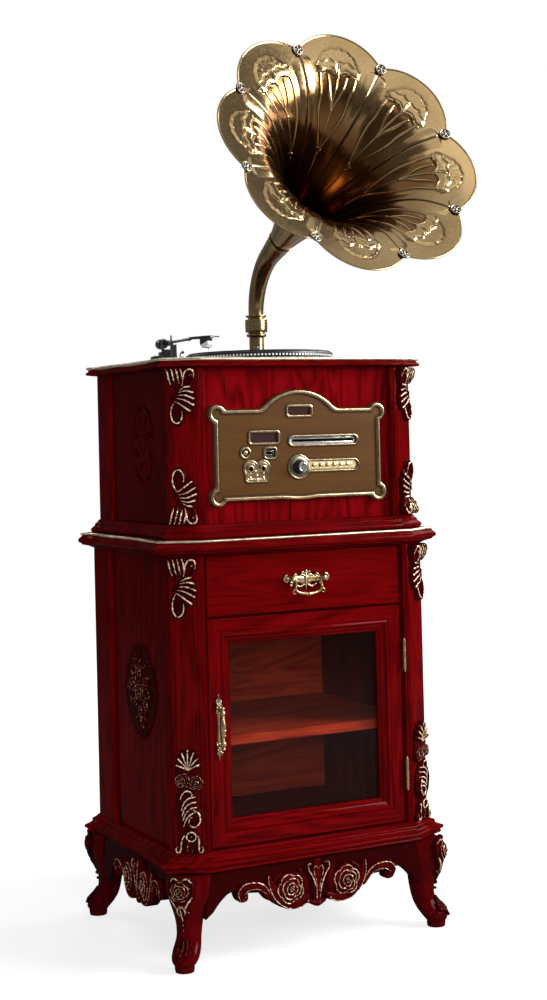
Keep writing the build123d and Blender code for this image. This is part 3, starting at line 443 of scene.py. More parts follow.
# ---------------------------------------------------------------- carving
class Carving:
    """Height h over a grid (a, b), with crest values that are gilding on carved wood and a painted
    highlight on metal, and d < 0 inside the carved outline.
    """

    def __init__(self, a, b):
        self.a, self.b = a, b
        self.h = np.zeros_like(a)
        self.gilt_and_painted_highlight = np.zeros_like(a)
        self.d = np.full_like(a, 1e3)
        self.low = None             # shade of the hollows, from the height unless a design sets it
        self.pressed = False        # ridges pressed in sheet metal have a softer section than carved ones
        self.broad = 1.0            # widens every ridge

    def raise_to(self, height, gilt_and_painted_highlight):
        higher = height > self.h
        self.h = np.where(higher, height, self.h)
        self.gilt_and_painted_highlight = np.where(higher, gilt_and_painted_highlight, self.gilt_and_painted_highlight)

    def body(self, inner, height, edge):
        """Rounded slab inside a signed distance field."""
        depth = np.clip(-inner / edge, 0, 1)
        self.raise_to(height * np.sqrt(1 - (1 - depth) ** 2) * (inner < 0), 0.0)
        self.d = np.minimum(self.d, inner)

    def ridge(self, points, width, height, gilt_and_painted_highlight=1.0, per=6):
        """Rounded ridge along a curve, its half width and height varying along it."""
        path = spline(points, per)
        width = self.broad * spread(width, len(path))
        height = spread(height, len(path))
        best = np.full_like(self.a, 1e3)
        for i in range(len(path) - 1):
            p, q = path[i], path[i + 1]
            reach = max(width[i], width[i + 1]) + 2.5
            near = ((self.a > min(p[0], q[0]) - reach) & (self.a < max(p[0], q[0]) + reach)
                    & (self.b > min(p[1], q[1]) - reach) & (self.b < max(p[1], q[1]) + reach))
            if not near.any():
                continue
            a, b = self.a[near] - p[0], self.b[near] - p[1]
            v = q - p
            t = np.clip((a * v[0] + b * v[1]) / max(v @ v, 1e-9), 0, 1)
            dist = np.hypot(a - t * v[0], b - t * v[1])
            w = width[i] + (width[i + 1] - width[i]) * t
            top = height[i] + (height[i + 1] - height[i]) * t
            ratio = np.clip(dist / w, 0, 1)
            rise = top * (1 - ratio**2 if self.pressed else np.sqrt(1 - ratio**2))
            h, g, best_near = self.h[near], self.gilt_and_painted_highlight[near], best[near]
            higher = (rise > h) & (dist < w)
            self.h[near] = np.where(higher, rise, h)
            self.gilt_and_painted_highlight[near] = np.where(higher, gilt_and_painted_highlight * (1 - ratio**2), g)
            best[near] = np.minimum(best_near, dist - w)
        self.d = np.minimum(self.d, best)

    def pair(self, points, *shape):
        """The same ridge on both sides of the middle line."""
        for side in (-1, 1):
            self.ridge([(side * x, b) for x, b in points], *shape)

    def pearl(self, a, b, radius, height, gilt_and_painted_highlight=1.0):
        dist = np.hypot(self.a - a, self.b - b)
        ratio = np.clip(dist / radius, 0, 1)
        rise = height * (1 - ratio**2) if self.pressed else height - radius + radius * np.sqrt(1 - ratio**2)
        self.raise_to(np.where(dist < radius, rise, 0), gilt_and_painted_highlight * (1 - ratio**2))
        self.d = np.minimum(self.d, dist - radius)

    def scroll(self, a, b, radius, turns, start, width, height, gilt_and_painted_highlight=1.0, way=1):
        """Spiral ridge that winds in to its centre."""
        t = np.linspace(0, 1, 16)
        angle = start + way * t * turns * 2 * math.pi
        r = radius * (1 - 0.85 * t)
        self.ridge(np.stack([a + r * np.cos(angle), b + r * np.sin(angle)], -1), width, height, gilt_and_painted_highlight, 3)

    def rose(self, a, b, radius, height, spin=0.0, gilt_and_painted_highlight=1.0):
        """Open rose: rings of overlapping petals with raised lips round a tight bud."""
        da, db = self.a - a, self.b - b
        dist = np.hypot(da, db)
        angle = np.arctan2(db, da)
        lip = radius * (1 + 0.07 * np.cos(5 * (angle - spin)))
        self.raise_to(np.where(dist < lip, height * (0.45 + 0.35 * (1 - (dist / lip) ** 2)), 0), 0.0)
        self.d = np.minimum(self.d, dist - lip)
        for share, petals, rise, turn in ((0.93, 5, 0.72, 0.0), (0.66, 4, 0.92, 0.5), (0.38, 3, 1.06, 1.1)):
            for k in range(petals):
                mid = spin + turn + 2 * math.pi * k / petals
                t = np.linspace(-0.62, 0.62, 7) * 2 * math.pi / petals
                r = radius * share * (1 - 0.22 * (t / t[-1]) ** 2 - 0.05 * (t / t[-1]))
                arc = np.stack([a + r * np.cos(mid + t), b + r * np.sin(mid + t)], -1)
                self.ridge(arc, [radius * 0.05, radius * 0.085, radius * 0.05],
                           [height * rise * 0.85, height * rise, height * rise * 0.8], gilt_and_painted_highlight, 2)
        self.scroll(a, b, radius * 0.2, 1.2, spin, radius * 0.06, height * 1.12, gilt_and_painted_highlight)


def relief(extent, step, design, place, back):
    """Carved solid: design(a, b) gives a Carving; place(a, b, h) puts its points in the cabinet."""
    a0, a1, b0, b1 = extent
    a, b = np.meshgrid(np.arange(a0, a1 + step, step), np.arange(b0, b1 + step, step), indexing="ij")
    d = design(a, b).d
    slope_a, slope_b = np.gradient(d, step)
    steep = np.maximum(slope_a**2 + slope_b**2, 0.2)
    near = (d > -0.35 * step) & (d < 0.9 * step)
    a = np.where(near, a - d * slope_a / steep, a)
    b = np.where(near, b - d * slope_b / steep, b)
    carved = design(a, b)
    inside = d < 0.9 * step
    n, m = a.shape
    faces = grid_faces(n, m)
    faces = faces[inside.reshape(-1)[faces].all(1)]
    used = np.unique(faces)
    index = np.full(n * m, -1)
    index[used] = np.arange(len(used))
    front = index[faces]
    count = len(used)
    edges = np.concatenate([np.stack([front[:, k], front[:, (k + 1) % 4]], -1) for k in range(4)])
    key = edges[:, 0] * count + edges[:, 1]
    lone = edges[~np.isin(key, edges[:, 1] * count + edges[:, 0])]
    walls = np.stack([lone[:, 1], lone[:, 0], lone[:, 0] + count, lone[:, 1] + count], -1)
    flat = (a.reshape(-1)[used], b.reshape(-1)[used])
    h = carved.h.reshape(-1)[used]
    top = place(*flat, h)
    bottom = place(*flat, np.full(count, back))
    gilt_and_painted_highlight = carved.gilt_and_painted_highlight.reshape(-1)[used]
    # low darkens the parts that sit low in the relief: painted shade in its hollows
    if carved.low is None:
        low = np.clip(1 - h / (0.35 * max(h.max(), 0.1)), 0, 1)
    else:
        low = carved.low.reshape(-1)[used]
    verts = np.concatenate([top, bottom])
    all_faces = np.concatenate([front, front[:, ::-1] + count, walls])
    return Geo(verts, all_faces, 0, np.concatenate([gilt_and_painted_highlight, gilt_and_painted_highlight * 0]), np.concatenate([low, low]))


def planar(origin, across, out):
    """Places relief points on a plane: b is up, a runs along across, h out of it."""
    origin, across, out = (np.asarray(v, float) for v in (origin, across, out))
    up = np.array([0, 0, 1.0])
    return lambda a, b, h: origin + a[:, None] * across + b[:, None] * up + h[:, None] * out


def on_front(x, y, z):
    """Plane that faces the viewer."""
    return planar((x, y, z), (1, 0, 0), (0, -1, 0))


def on_left(x, y, z):
    """Plane that faces left; the right side takes its mirror image."""
    return planar((x, y, z), (0, 1, 0), (-1, 0, 0))


def box_field(a, b, ca, cb, half_a, half_b, corner=0.0):
    """Signed distance to a rounded rectangle."""
    qa = np.abs(a - ca) - half_a + corner
    qb = np.abs(b - cb) - half_b + corner
    return np.hypot(np.maximum(qa, 0), np.maximum(qb, 0)) + np.minimum(np.maximum(qa, qb), 0) - corner


def disc_field(a, b, ca, cb, radius):
    return np.hypot(a - ca, b - cb) - radius


def soft_union(p, q, k):
    t = np.clip(0.5 + 0.5 * (q - p) / k, 0, 1)
    return q * (1 - t) + p * t - k * t * (1 - t)


def outline_field(a, b, points):
    """Signed distance to a closed outline."""
    p = np.asarray(points, float)
    q = np.roll(p, -1, 0)
    best = np.full(a.shape, 1e9)
    inside = np.zeros(a.shape, bool)
    for (x0, y0), (x1, y1) in zip(p, q):
        dx, dy = x1 - x0, y1 - y0
        t = np.clip(((a - x0) * dx + (b - y0) * dy) / (dx * dx + dy * dy + 1e-12), 0, 1)
        best = np.minimum(best, (a - x0 - t * dx) ** 2 + (b - y0 - t * dy) ** 2)
        crosses = (y0 > b) != (y1 > b)
        inside ^= crosses & (a < x0 + dx * (b - y0) / (dy if abs(dy) > 1e-12 else 1e-12))
    return np.where(inside, -1, 1) * np.sqrt(best)


# ---------------------------------------------------------------- case
WAVE_Y = (-205, -150, -75, 0, 50, 90, 150, 178, 205)
WAVE = (1.45, 1.2, 0.62, 0.55, 0.80, 0.74, 0.45, 1.2, 1.4)


def plan_loop(half, over, z):
    """Board's edge at one height: canted rounded front corners and serpentine sides."""
    w, d = half
    side_y = np.linspace(-d + CANT[1] + 2, d - 26, 34)
    sway = np.interp(side_y, WAVE_Y, WAVE)
    kernel = np.array([1, 2, 3, 2, 1]) / 9
    sway = np.convolve(np.pad(sway, 2, mode="edge"), kernel, "valid")
    right = [(w - CANT[0] - 26, -d - over), (w - CANT[0] - 6, -d - over),
             (w - CANT[0] + 2, -d - over + 0.4)]
    right += [(w - 8 + over * 0.1, -d + CANT[1] - over * 0.9 - 4),
              (w + over * 1.35, -d + CANT[1] - over * 0.35)]
    right += [(w + over * s, y) for y, s in zip(side_y, sway)]
    right += [(w + over * 1.35, d - 20), (w - 20, d + over)]
    points = right + [(-x, y) for x, y in reversed(right)]
    return np.array([(x, y, z) for x, y in points])


def moulded(half, levels, gilt_band=None):
    """Stack of plan loops through (height, overhang) levels; a band of heights is gilded."""
    levels = np.asarray(levels, float)
    rings = np.array([plan_loop(half, over, z) for z, over in levels])
    geo = loft(rings)
    m = rings.shape[1]
    mats = []
    for z in (levels[:-1, 0] + levels[1:, 0]) / 2:
        gilded = gilt_band is not None and gilt_band[0] < z < gilt_band[1]
        mats += [1 if gilded else 0] * m
    geo.mat = mats + [0, 0]
    return geo


def boards():
    waist = spline([(158, 7), (159.5, 12), (161.5, 17), (164, 18.5), (166, 17.4), (167, 17.5), (169, 20.6),
                    (172, 22), (175, 20.6), (177, 16), (179.5, 11.5), (182, 10), (184, 10.4), (186, 9),
                    (188, 5), (191, 1.5)], 5)
    looks("base_board", "cabinet", [WOOD_X], [moulded(LOWER, waist)])
    slab = spline([(690, 1.5), (692, 4), (694, 9), (696, 15.5), (697.4, 17), (698.4, 17.2), (700.5, 20.5),
                   (703.5, 22.2), (707, 21.5), (710, 18.8), (712.3, 16.6), (713.2, 16.4), (714.2, 18),
                   (716, 19), (717.5, 18), (718, 15.5), (718.02, 8)], 5)
    looks("lower_top", "cabinet", [WOOD_X, GILT_LINE], [moulded(LOWER, slab, (713.4, 718.03))])
    plinth = spline([(718, 7.5), (719.5, 11), (722.5, 13), (726, 12.4), (729, 9.8), (731, 7.4), (733, 7),
                     (735, 6.2), (738, 3.2), (742, 1)], 5)
    looks("console_plinth", "cabinet", [WOOD_X], [moulded(UPPER, plinth)])
    lid = spline([(1011, 3), (1011.6, 9), (1012.6, 14.5), (1014.5, 15.9), (1017, 15.2), (1019.4, 12.2),
                  (1021, 11.4), (1022, 12.4), (1023.2, 14.4), (1025, 15), (1026.8, 14.2), (1027.8, 11.5),
                  (1028, 6)], 5)
    looks("console_top", "cabinet", [WOOD_X, GILT_LINE], [moulded(UPPER, lid, (1021.6, 1028.1))])


def reeds(p, q, count, rise):
    """Half round beads side by side along a line, to its right."""
    p, q = np.asarray(p, float), np.asarray(q, float)
    out = np.array([(q - p)[1], -(q - p)[0]]) / np.linalg.norm(q - p)
    points = []
    for k in range(count):
        for t in np.linspace(0, 1, 7)[:-1]:
            points.append(p + (q - p) * (k + 0.06 + 0.88 * t) / count + out * rise * math.sin(math.pi * t))
        points.append(p + (q - p) * (k + 0.94) / count - out * 0.6)
    return [tuple(v) for v in points]


def case_posts(half, rear_y, z0, z1, name):
    """Reeded corner posts; the front ones have a canted face with a sunk border."""
    w, d = half
    front_inner, rear_inner = -150, d - 18
    inner = -w + 54
    front = [(-w, front_inner), *reeds((-w, front_inner - 2), (-w, front_inner - 12), 2, 1.6),
             (-w, -d + CANT[1] + 1.5)]
    c0, c1 = np.array((-w + 0.6, -d + CANT[1])), np.array((-w + CANT[0], -d + 0.4))
    along = (c1 - c0) / np.linalg.norm(c1 - c0)
    inward = np.array((-along[1], along[0]))
    for reach, sink in ((0, 0), (2.2, 0), (3, 1.1), (4.2, 1.1), (5, 0)):
        front.append(tuple(c0 + along * reach + inward * sink))
    for reach, sink in ((5, 0), (4.2, 1.1), (3, 1.1), (2.2, 0), (0, 0)):
        front.append(tuple(c1 - along * reach + inward * sink))
    front += [(-w + CANT[0] + 1.2, -d + 0.5), *reeds((-w + CANT[0] + 1.6, -d), (inner - 0.2, -d), 3, 1.5)]
    front += [(inner, -d + 1), (inner, front_inner)]
    rear = [(-w, d - 24), (-w + 24, d), (-w + 54, d), (-w + 54, rear_inner),
            (-w + 20, rear_inner), (-w + 20, rear_y), (-w + 0.5, rear_y)]
    rear += reeds((-w, rear_y + 13), (-w, rear_y + 1), 3, 1.5)[::-1]
    geos = []
    for plan in (front, rear):
        geo = prism(plan, z0, z1)
        geos += [geo, geo.mirrored()]
    looks(name, "cabinet", [WOOD_Z], geos, bevel=0.35)


def legs():
    """Cabriole legs with a block at the top, an ankle and a scrolled foot on a pad."""
    table = np.array([(158, 12, 31.0, 7.0), (150, 13, 31.3, 7.0), (140, 15, 31.5, 6.5),
                      (125, 16.5, 30.6, 5.0), (112, 16, 28.0, 4.2), (100, 14.5, 25.4, 3.6),
                      (88, 13, 23.0, 3.2), (75, 12, 21.0, 3.0), (62, 12.8, 20.0, 2.8), (52, 15, 20.0, 2.6),
                      (44, 18.5, 21.0, 2.5), (37, 23, 22.2, 2.4), (30, 28, 23.0, 2.3), (23, 33, 22.8, 2.2),
                      (17, 36.5, 21.3, 2.1), (12, 37.5, 18.2, 2.1), (9.5, 37.6, 16.2, 2.1),
                      (8, 37.6, 16.6, 2.1), (4, 37.6, 16.4, 2.1), (0, 37.6, 15.6, 2.1)])
    path = spline(table, 4)
    sides, inset, corner = 56, 28, 1.17             # corner: how far the rounded corner reaches out
    angle = circle(sides)
    rings = []
    for z, shift, side, power in path:
        r = side / (np.abs(np.cos(angle)) ** power + np.abs(np.sin(angle)) ** power) ** (1 / power)
        outer = np.abs(((angle - 1.25 * math.pi + math.pi) % (2 * math.pi)) - math.pi)
        r = np.minimum(r, side * corner / np.maximum(np.cos(outer), 0.3))
        x = -(LOWER[0] - inset + shift / 2**0.5)
        y = -(LOWER[1] - inset + shift / 2**0.5)
        rings.append(np.stack([x + r * np.cos(angle), y + r * np.sin(angle), np.full(sides, z)], -1))
    leg = loft(rings[::-1])
    diagonal = 2**-0.5

    def reach(z):
        order = np.argsort(path[:, 0])
        shift = np.interp(z, path[order, 0], path[order, 1])
        side = np.interp(z, path[order, 0], path[order, 2])
        return shift, side

    def on_knee(a, b, h):
        shift, side = reach(b)
        out = side * corner + h - a**2 / (2.2 * side)
        x = -(LOWER[0] - inset + shift * diagonal) - out * diagonal + a * diagonal
        y = -(LOWER[1] - inset + shift * diagonal) - out * diagonal - a * diagonal
        return np.stack([x, y, b], -1)

    def knee(a, b):
        c = Carving(a, b)
        c.broad = 1.2
        c.pair([(3, 154), (12, 157), (19, 150)], [3, 3.6, 2], [4, 6, 3])
        c.pair([(19, 150), (22, 138), (20, 126)], [2.4, 3.2, 2.2], [3, 5, 3], 0.6)
        c.pair([(20, 126), (13, 116), (8, 106), (12, 99)], [2.6, 3.4, 1.5], [4, 5, 2])
        c.pair([(2, 112), (7, 102), (4, 92)], [2.2, 3.0, 1.2], [4, 5, 2.5])
        c.pair([(2, 24), (8, 38), (4, 52)], [1.6, 2.4, 1.2], [2.5, 4.0, 1.5], 0.8)
        for side in (-1, 1):
            c.scroll(side * 13, 34, 5.5, 1.0, math.pi / 2, 2.0, 4.5, 0.8, side)
        c.ridge([(0, 110), (0, 96), (0, 84)], [2.6, 3.2, 1.6], [5, 6, 3])
        c.ridge([(0, 22), (0, 36), (0, 50)], [2.4, 3.2, 1.5], [3, 4.5, 2], 0.9)
        c.rose(0, 136, 17.5, 9.0, 0.3)
        c.pearl(0, 77.5, 3.2, 5.0)
        c.pearl(0, 67.5, 2.6, 4.2)
        return c

    carving = relief((-24, 24, 18, 160), 0.75, knee, on_knee, back=-3.0)
    legs_all, carvings = [], []
    for geo, store in ((leg, legs_all), (carving, carvings)):
        rear = geo.mirrored((1, -1, 1))
        store += [geo, geo.mirrored(), rear, rear.mirrored()]
    looks("legs", "cabinet", [CARVED], legs_all, attributes=True, sharp=50)
    piece("leg_carvings", "cabinet", [BRACKET], carvings, slot="carved_mahogany", attributes=True, sharp=60)


def apron_design(half_run, scallop):
    """Apron's lower edge heights at x, with the ornament drawn on it."""
    def design(a, b):
        c = Carving(a, b)
        edge = np.interp(np.abs(a), [x for x, _ in scallop], [z for _, z in scallop])
        board = np.maximum(np.maximum(edge - b, b - BASE), np.abs(a) - half_run)
        c.body(board, 1.2, 1.5)
        ornament = Carving(a, b)
        ornament.broad = 1.2
        # C scroll arm with a double lip, wound up at its end
        ornament.pair([(92, 106), (106, 121), (124, 128), (142, 127), (151, 118), (147, 107), (139, 107),
                       (137, 114)], [7.5, 7.5, 6.5, 5.5, 5, 4.2, 3.4, 2.6], [7, 8, 8, 8.5, 9, 9, 9, 8],
                      0.15)
        ornament.pair([(94, 112), (106, 127), (124, 133.5), (144, 132), (155, 120), (150, 105)],
                      [1.6, 2.0, 2.0, 2.0, 1.8, 1.2], [8, 10, 10.5, 10.5, 10.5, 8])
        ornament.pair([(100, 110), (116, 121), (134, 122), (143, 116), (141, 111)],
                      [1.0, 1.3, 1.3, 1.2, 1.0], [8, 10, 10.5, 11, 10])
        # pointed leaf that sweeps under the rose
        ornament.pair([(94, 140), (88, 118), (76, 99), (56, 88), (36, 86), (20, 92)],
                      [3, 8, 9.5, 8.5, 7, 5], [5, 8, 8, 7.5, 7, 6], 0.1)
        ornament.pair([(96, 142), (95, 122), (84, 98), (62, 81.5), (38, 79), (20, 86)],
                      [1.3, 1.8, 2.0, 2.0, 1.8, 1.2], [7, 9, 10, 10, 9.5, 7])
        ornament.pair([(92, 138), (84, 116), (73, 102), (60, 92)], [1.0, 1.4, 1.4, 1.0], [7, 9.5, 9.5, 8],
                      0.9)
        # leaf tips that show between the rose and the palmette
        ornament.pair([(30, 96), (24, 112), (27, 132), (36, 144)], [4, 5.5, 4.5, 2], [6, 8, 7, 4], 0.2)
        ornament.pair([(70, 140), (82, 132), (86, 120)], [2.0, 3.5, 2.0], [5, 7, 4], 0.7)
        for side in (-1, 1):
            ornament.rose(side * 55, 114, 27, 16, 0.4 * side + 1.2)
            ornament.pearl(side * 22, 88, 4.6, 11)
        # palmette: an outer outline that rolls over and an inner one that closes
        ornament.pair([(3, 90), (5, 108), (12, 128), (20, 141), (20, 150), (13, 150)],
                      [2.0, 2.4, 2.7, 2.8, 2.4, 1.5], [8, 10, 11, 12, 11, 9])
        ornament.pair([(1.5, 102), (4, 118), (9, 135), (7, 145), (0.5, 141)],
                      [1.4, 1.8, 2.0, 2.0, 1.4], [8, 9.5, 10.5, 10, 9], 0.95)
        ornament.ridge([(0, 86), (0, 104), (0, 128), (0, 152)], [8, 8, 12, 7], [6.5, 7, 7.5, 7], 0.0)
        ornament.ridge([(-13, 84), (0, 80), (13, 84)], [3.5, 5, 3.5], [7, 9, 7], 0.4)
        higher = ornament.h > c.h
        c.h = np.where(higher, ornament.h, c.h)
        c.gilt_and_painted_highlight = np.where(higher, ornament.gilt_and_painted_highlight, c.gilt_and_painted_highlight)
        c.d = np.minimum(c.d, ornament.d)
        return c
    return design


def aprons():
    face = -LOWER[1] - 8
    scallop = [(0, 92), (30, 92), (60, 96), (90, 108), (110, 113), (140, 116), (152, 121), (162, 121.5),
               (172, 118), (182, 110), (190, 102), (198, 92), (214, 80)]
    front = relief((-212, 212, 74, BASE), 0.85, apron_design(212, scallop), on_front(0, face, 0), back=-14)
    piece("front_apron_looks", "cabinet", [CARVED], [front], ["aprons", "base_carvings"], attributes=True,
          sharp=55)
    side_x = -LOWER[0] - 4
    narrow = [(x * 0.74, z) for x, z in scallop]
    shape = apron_design(196, scallop)

    def side_design(a, b):
        """The front's ornament drawn narrower, round the side's own middle."""
        c = shape(a / 0.66, b)
        board = Carving(a, b)
        edge = np.interp(np.abs(a + 6), [x for x, _ in narrow], [z for _, z in narrow])
        field = np.maximum(np.maximum(edge - b, b - BASE), np.maximum(-(a + 118), a - 174))
        board.body(field, 1.2, 1.5)
        c.d = np.minimum(c.d, field)
        c.d = np.maximum(c.d, np.maximum(-(a + 118), a - 174))
        c.h = np.maximum(c.h, board.h)
        return c

    left = relief((-118, 174, 74, BASE), 0.9, side_design, on_left(side_x, SIDE_Y, 0), back=-14)
    piece("side_aprons_looks", "cabinet", [CARVED], [left, left.mirrored()], slot="carved_mahogany",
          attributes=True, sharp=55)

    def plain_edge(a, b):
        c = Carving(a, b)
        edge = 118 - 16 * (np.abs(a) / 196) ** 4 - 3 * np.cos(a / 20)
        c.body(np.maximum(np.maximum(edge - b, b - BASE), np.abs(a) - 196), 1.2, 2.5)
        return c

    rear = relief((-196, 196, 94, BASE), 2.5, plain_edge,
                  planar((0, LOWER[1] - 6, 0), (-1, 0, 0), (0, 1, 0)), back=-14)
    piece("rear_apron_looks", "cabinet", [CARVED], [rear], slot="mahogany", attributes=True)


# ---------------------------------------------------------------- carved brackets
def bracket(height):
    """Bracket under a slab: fluted ribs and a volute, a shell fan, and a curled tongue."""
    k = height / 104

    def design(a, b):
        c = Carving(a, b)
        c.broad = 1.2
        z = -b / k                                   # distance below the top
        left = np.interp(z, [0, 12, 26, 34, 44, 62, 76, 92, 99],
                         [-27, -27, -22, -14, -15, -20, -21, -19, -12])
        right = np.interp(z, [0, 18, 28, 36, 50, 62, 74, 82, 92, 99],
                          [20, 21, 13, 12, 18, 18, 11, 4, 2, -5])
        mid, half = (left + right) / 2, (right - left) / 2
        rise = np.interp(z, [0, 6, 16, 30, 44, 60, 78, 92, 104], [8, 10.5, 10.5, 6.5, 5, 5, 3.5, 4.5, 2.0])
        field = np.maximum(np.maximum(np.abs(a - mid) - half, b + 0.8), -b - height * 0.955)
        c.body(field, 1.0, 3.0)
        c.h = np.where(field < 0, rise * np.sqrt(np.clip(1 - (np.abs(a - mid) / (half + 1.5)) ** 2, 0, 1)),
                       c.h)
        for i in range(4):                           # fluted ribs that curl over at the top
            x = -23.5 + 8.0 * i
            c.ridge([(x - 2.5, -3 * k), (x, -9 * k), (x + 1.6, -19 * k),
                     (x + 4.6 - 0.6 * i, -(29 - 0.8 * i) * k)], [2.6, 3.7, 3.3, 1.5],
                    [12.5, 16.5, 13.5, 7.0], 1.0)
        c.ridge([(0, -31 * k), (2.5, -20 * k), (5, -10 * k), (11, -4 * k), (18, -4.5 * k), (21, -10 * k),
                 (20, -18 * k)], [1.6, 3.0, 3.6, 3.6, 3.4, 3.0, 2.0], [8, 13, 16, 18, 18, 16, 11])
        c.pearl(15.5, -13.5 * k, 5.2, 19.0)
        c.ridge([(19, -19 * k), (15, -27 * k), (8, -33 * k), (2, -36 * k)], [2.2, 3.2, 3.0, 2.0],
                [11, 10.5, 9, 7], 0.7)
        fan = ((-4, 38, 4, 33.5, 13, 32), (-6, 42, 6, 39.5, 17.5, 42), (-8, 47, 5, 47, 19.5, 53),
               (-10, 52, 3, 55, 18.5, 63.5), (-12, 57, -1, 64, 12.5, 74))
        for x0, z0, xm, zm, x1, z1 in fan:           # shell fan opening to the front edge
            c.ridge([(x0, -z0 * k), (xm, -zm * k), (x1, -z1 * k)], [1.6, 3.0, 3.7], [6.5, 11.5, 9.5])
        for i in range(3):                           # small leaves on the other edge
            z1 = 46 + 8 * i
            c.ridge([(-9, -(z1 - 3) * k), (-14, -z1 * k), (-18.5, -(z1 + 7) * k)], [1.8, 2.6, 1.6],
                    [6, 7.5, 4], 0.6)
        tongue = [(-13, 58), (-18.5, 68), (-19.8, 80), (-17, 90), (-10.5, 94.5), (-4, 91), (-0.8, 83),
                  (-1.5, 74)]
        c.ridge([(x, -z * k) for x, z in tongue], [2.0, 2.6, 2.7, 2.9, 3.0, 2.9, 2.6, 1.6],
                [6, 8, 8.5, 9.5, 10, 9, 8, 5])
        c.ridge([(-10, -62 * k), (-9.5, -74 * k), (-9.5, -86 * k)], [3.2, 3.4, 2.2], [5.5, 5.5, 5], 0.2)
        c.d = np.maximum(c.d, b + 0.5)
        return c

    return design


def tall_bracket(a, b):
    """Foot bracket of the lower cabinet, 176 high, b measured up from its foot."""
    c = Carving(a, b)
    c.broad = 1.2
    left = np.interp(b, [0, 12, 30, 50, 70, 92, 108, 124, 138, 150, 172],
                     [-24, -21, -17, -20, -22, -22, -18, -21, -22, -22, -4])
    right = np.interp(b, [0, 12, 26, 40, 52, 70, 84, 104, 124, 140, 150, 172],
                      [25, 22, 18, 12, 17, 22, 19, 8, 24, 21, 21, 6])
    mid, half = (left + right) / 2, (right - left) / 2
    rise = np.interp(b, [0, 20, 40, 70, 100, 120, 150, 176], [3.5, 4.5, 4, 5, 4.5, 4.5, 5, 2.5])
    c.body(np.maximum(np.maximum(np.abs(a - mid) - half, -b), b - 170), 1.0, 3.0)
    c.h = np.where(c.d < 0, rise * np.sqrt(np.clip(1 - (np.abs(a - mid) / (half + 2)) ** 2, 0, 1)), c.h)
    for i in range(7):                               # fan shell
        turn = math.radians(90 + 25 * (i - 3))
        top = 31 - 2.2 * abs(i - 3)
        x1, z1 = top * math.cos(turn) * 0.80, 143 + top * math.sin(turn)
        c.ridge([(0, 140), (x1 * 0.6, 143 + (z1 - 143) * 0.62), (x1, z1)], [1.5, 3.0, 3.7], [7, 12.5, 10.5],
                1.0)
    c.rose(-10, 123, 13, 12, 0.2)
    c.rose(13, 119, 13, 13, 1.4)
    c.ridge([(-14, 92), (-11, 100), (-4, 106), (4, 104), (6, 98), (1, 95)], [2.2, 2.8, 3.0, 2.8, 2.4, 1.6],
            [7, 10, 12, 11.5, 11, 9])
    for i in range(4):                               # ribbed acanthus
        z0 = 96 - 8.5 * i
        c.ridge([(-13 + 1.2 * i, z0 - 24), (-8 + 1.5 * i, z0 - 10), (1 + 1.6 * i, z0 - 2),
                 (11 + 1.4 * i, z0 - 1)], [1.8, 3.2, 3.3, 2.0], [7, 11.5, 11.5, 7])
    c.ridge([(-18, 90), (-19.5, 74), (-17.5, 56), (-13, 42)], [2.6, 3.4, 3.2, 2.0], [7, 9, 8, 6], 0.8)
    ring = [(8, 74), (17, 69), (19.5, 58), (14, 48), (5, 47), (0, 53), (2, 61), (8, 62)]
    c.ridge(ring, [2.4, 3.3, 3.5, 3.5, 3.2, 2.7, 2.2, 1.6], [10, 13, 14, 14, 13, 12, 11, 9])
    t = np.linspace(0, 2 * math.pi, 14)
    c.ridge(np.stack([3.5 + 8 * np.cos(t), 30 + 7.5 * np.sin(t)], -1), 2.9, 12.5, 1.0, 2)
    c.pearl(3.5, 30, 4.0, 10)
    for s in (-1, 1):
        c.ridge([(s * 8 + 3, 34), (s * 14 + 2, 26), (s * 15 + 1, 14), (s * 16, 5), (s * 21, 3.5),
                 (s * 23, 9), (s * 20, 13)], [2.4, 3.3, 3.4, 3.1, 2.7, 2.2, 1.5],
                [8, 10.5, 10, 9.5, 9.5, 9, 7])
        c.ridge([(s * 2 + 2, 22), (s * 5 + 1, 12), (s * 4, 3)], [1.8, 3.0, 1.8], [6, 8, 5], 0.9)
    c.d = np.maximum(c.d, 0.4 - b)
    return c


def corner_carvings():
    normal = np.array([-CANT[1], -CANT[0], 0.0]) / math.hypot(*CANT)
    across = np.array([CANT[0], -CANT[1], 0.0]) / math.hypot(*CANT)
    geos = []
    for half, z, height, down in ((UPPER, 1010.5, 104, True), (UPPER, 742.5, 104, False),
                                  (LOWER, 689.5, 110, True)):
        middle = np.array([-half[0] + CANT[0] / 2, -half[1] + CANT[1] / 2, z])
        geo = relief((-30, 26, -height - 1, 1), 0.66, bracket(height), planar(middle, across, normal), -2.0)
        if not down:
            geo.verts[:, 2] = 2 * z - geo.verts[:, 2]
        geos += [geo, geo.mirrored()]
    middle = np.array([-LOWER[0] + CANT[0] / 2, -LOWER[1] + CANT[1] / 2, 191.5])
    tall = relief((-27, 28, -1, 177), 0.68, tall_bracket, planar(middle, across, normal), -2.0)
    geos += [tall, tall.mirrored()]
    looks("corner_carvings", "cabinet", [BRACKET], geos, attributes=True, sharp=60)


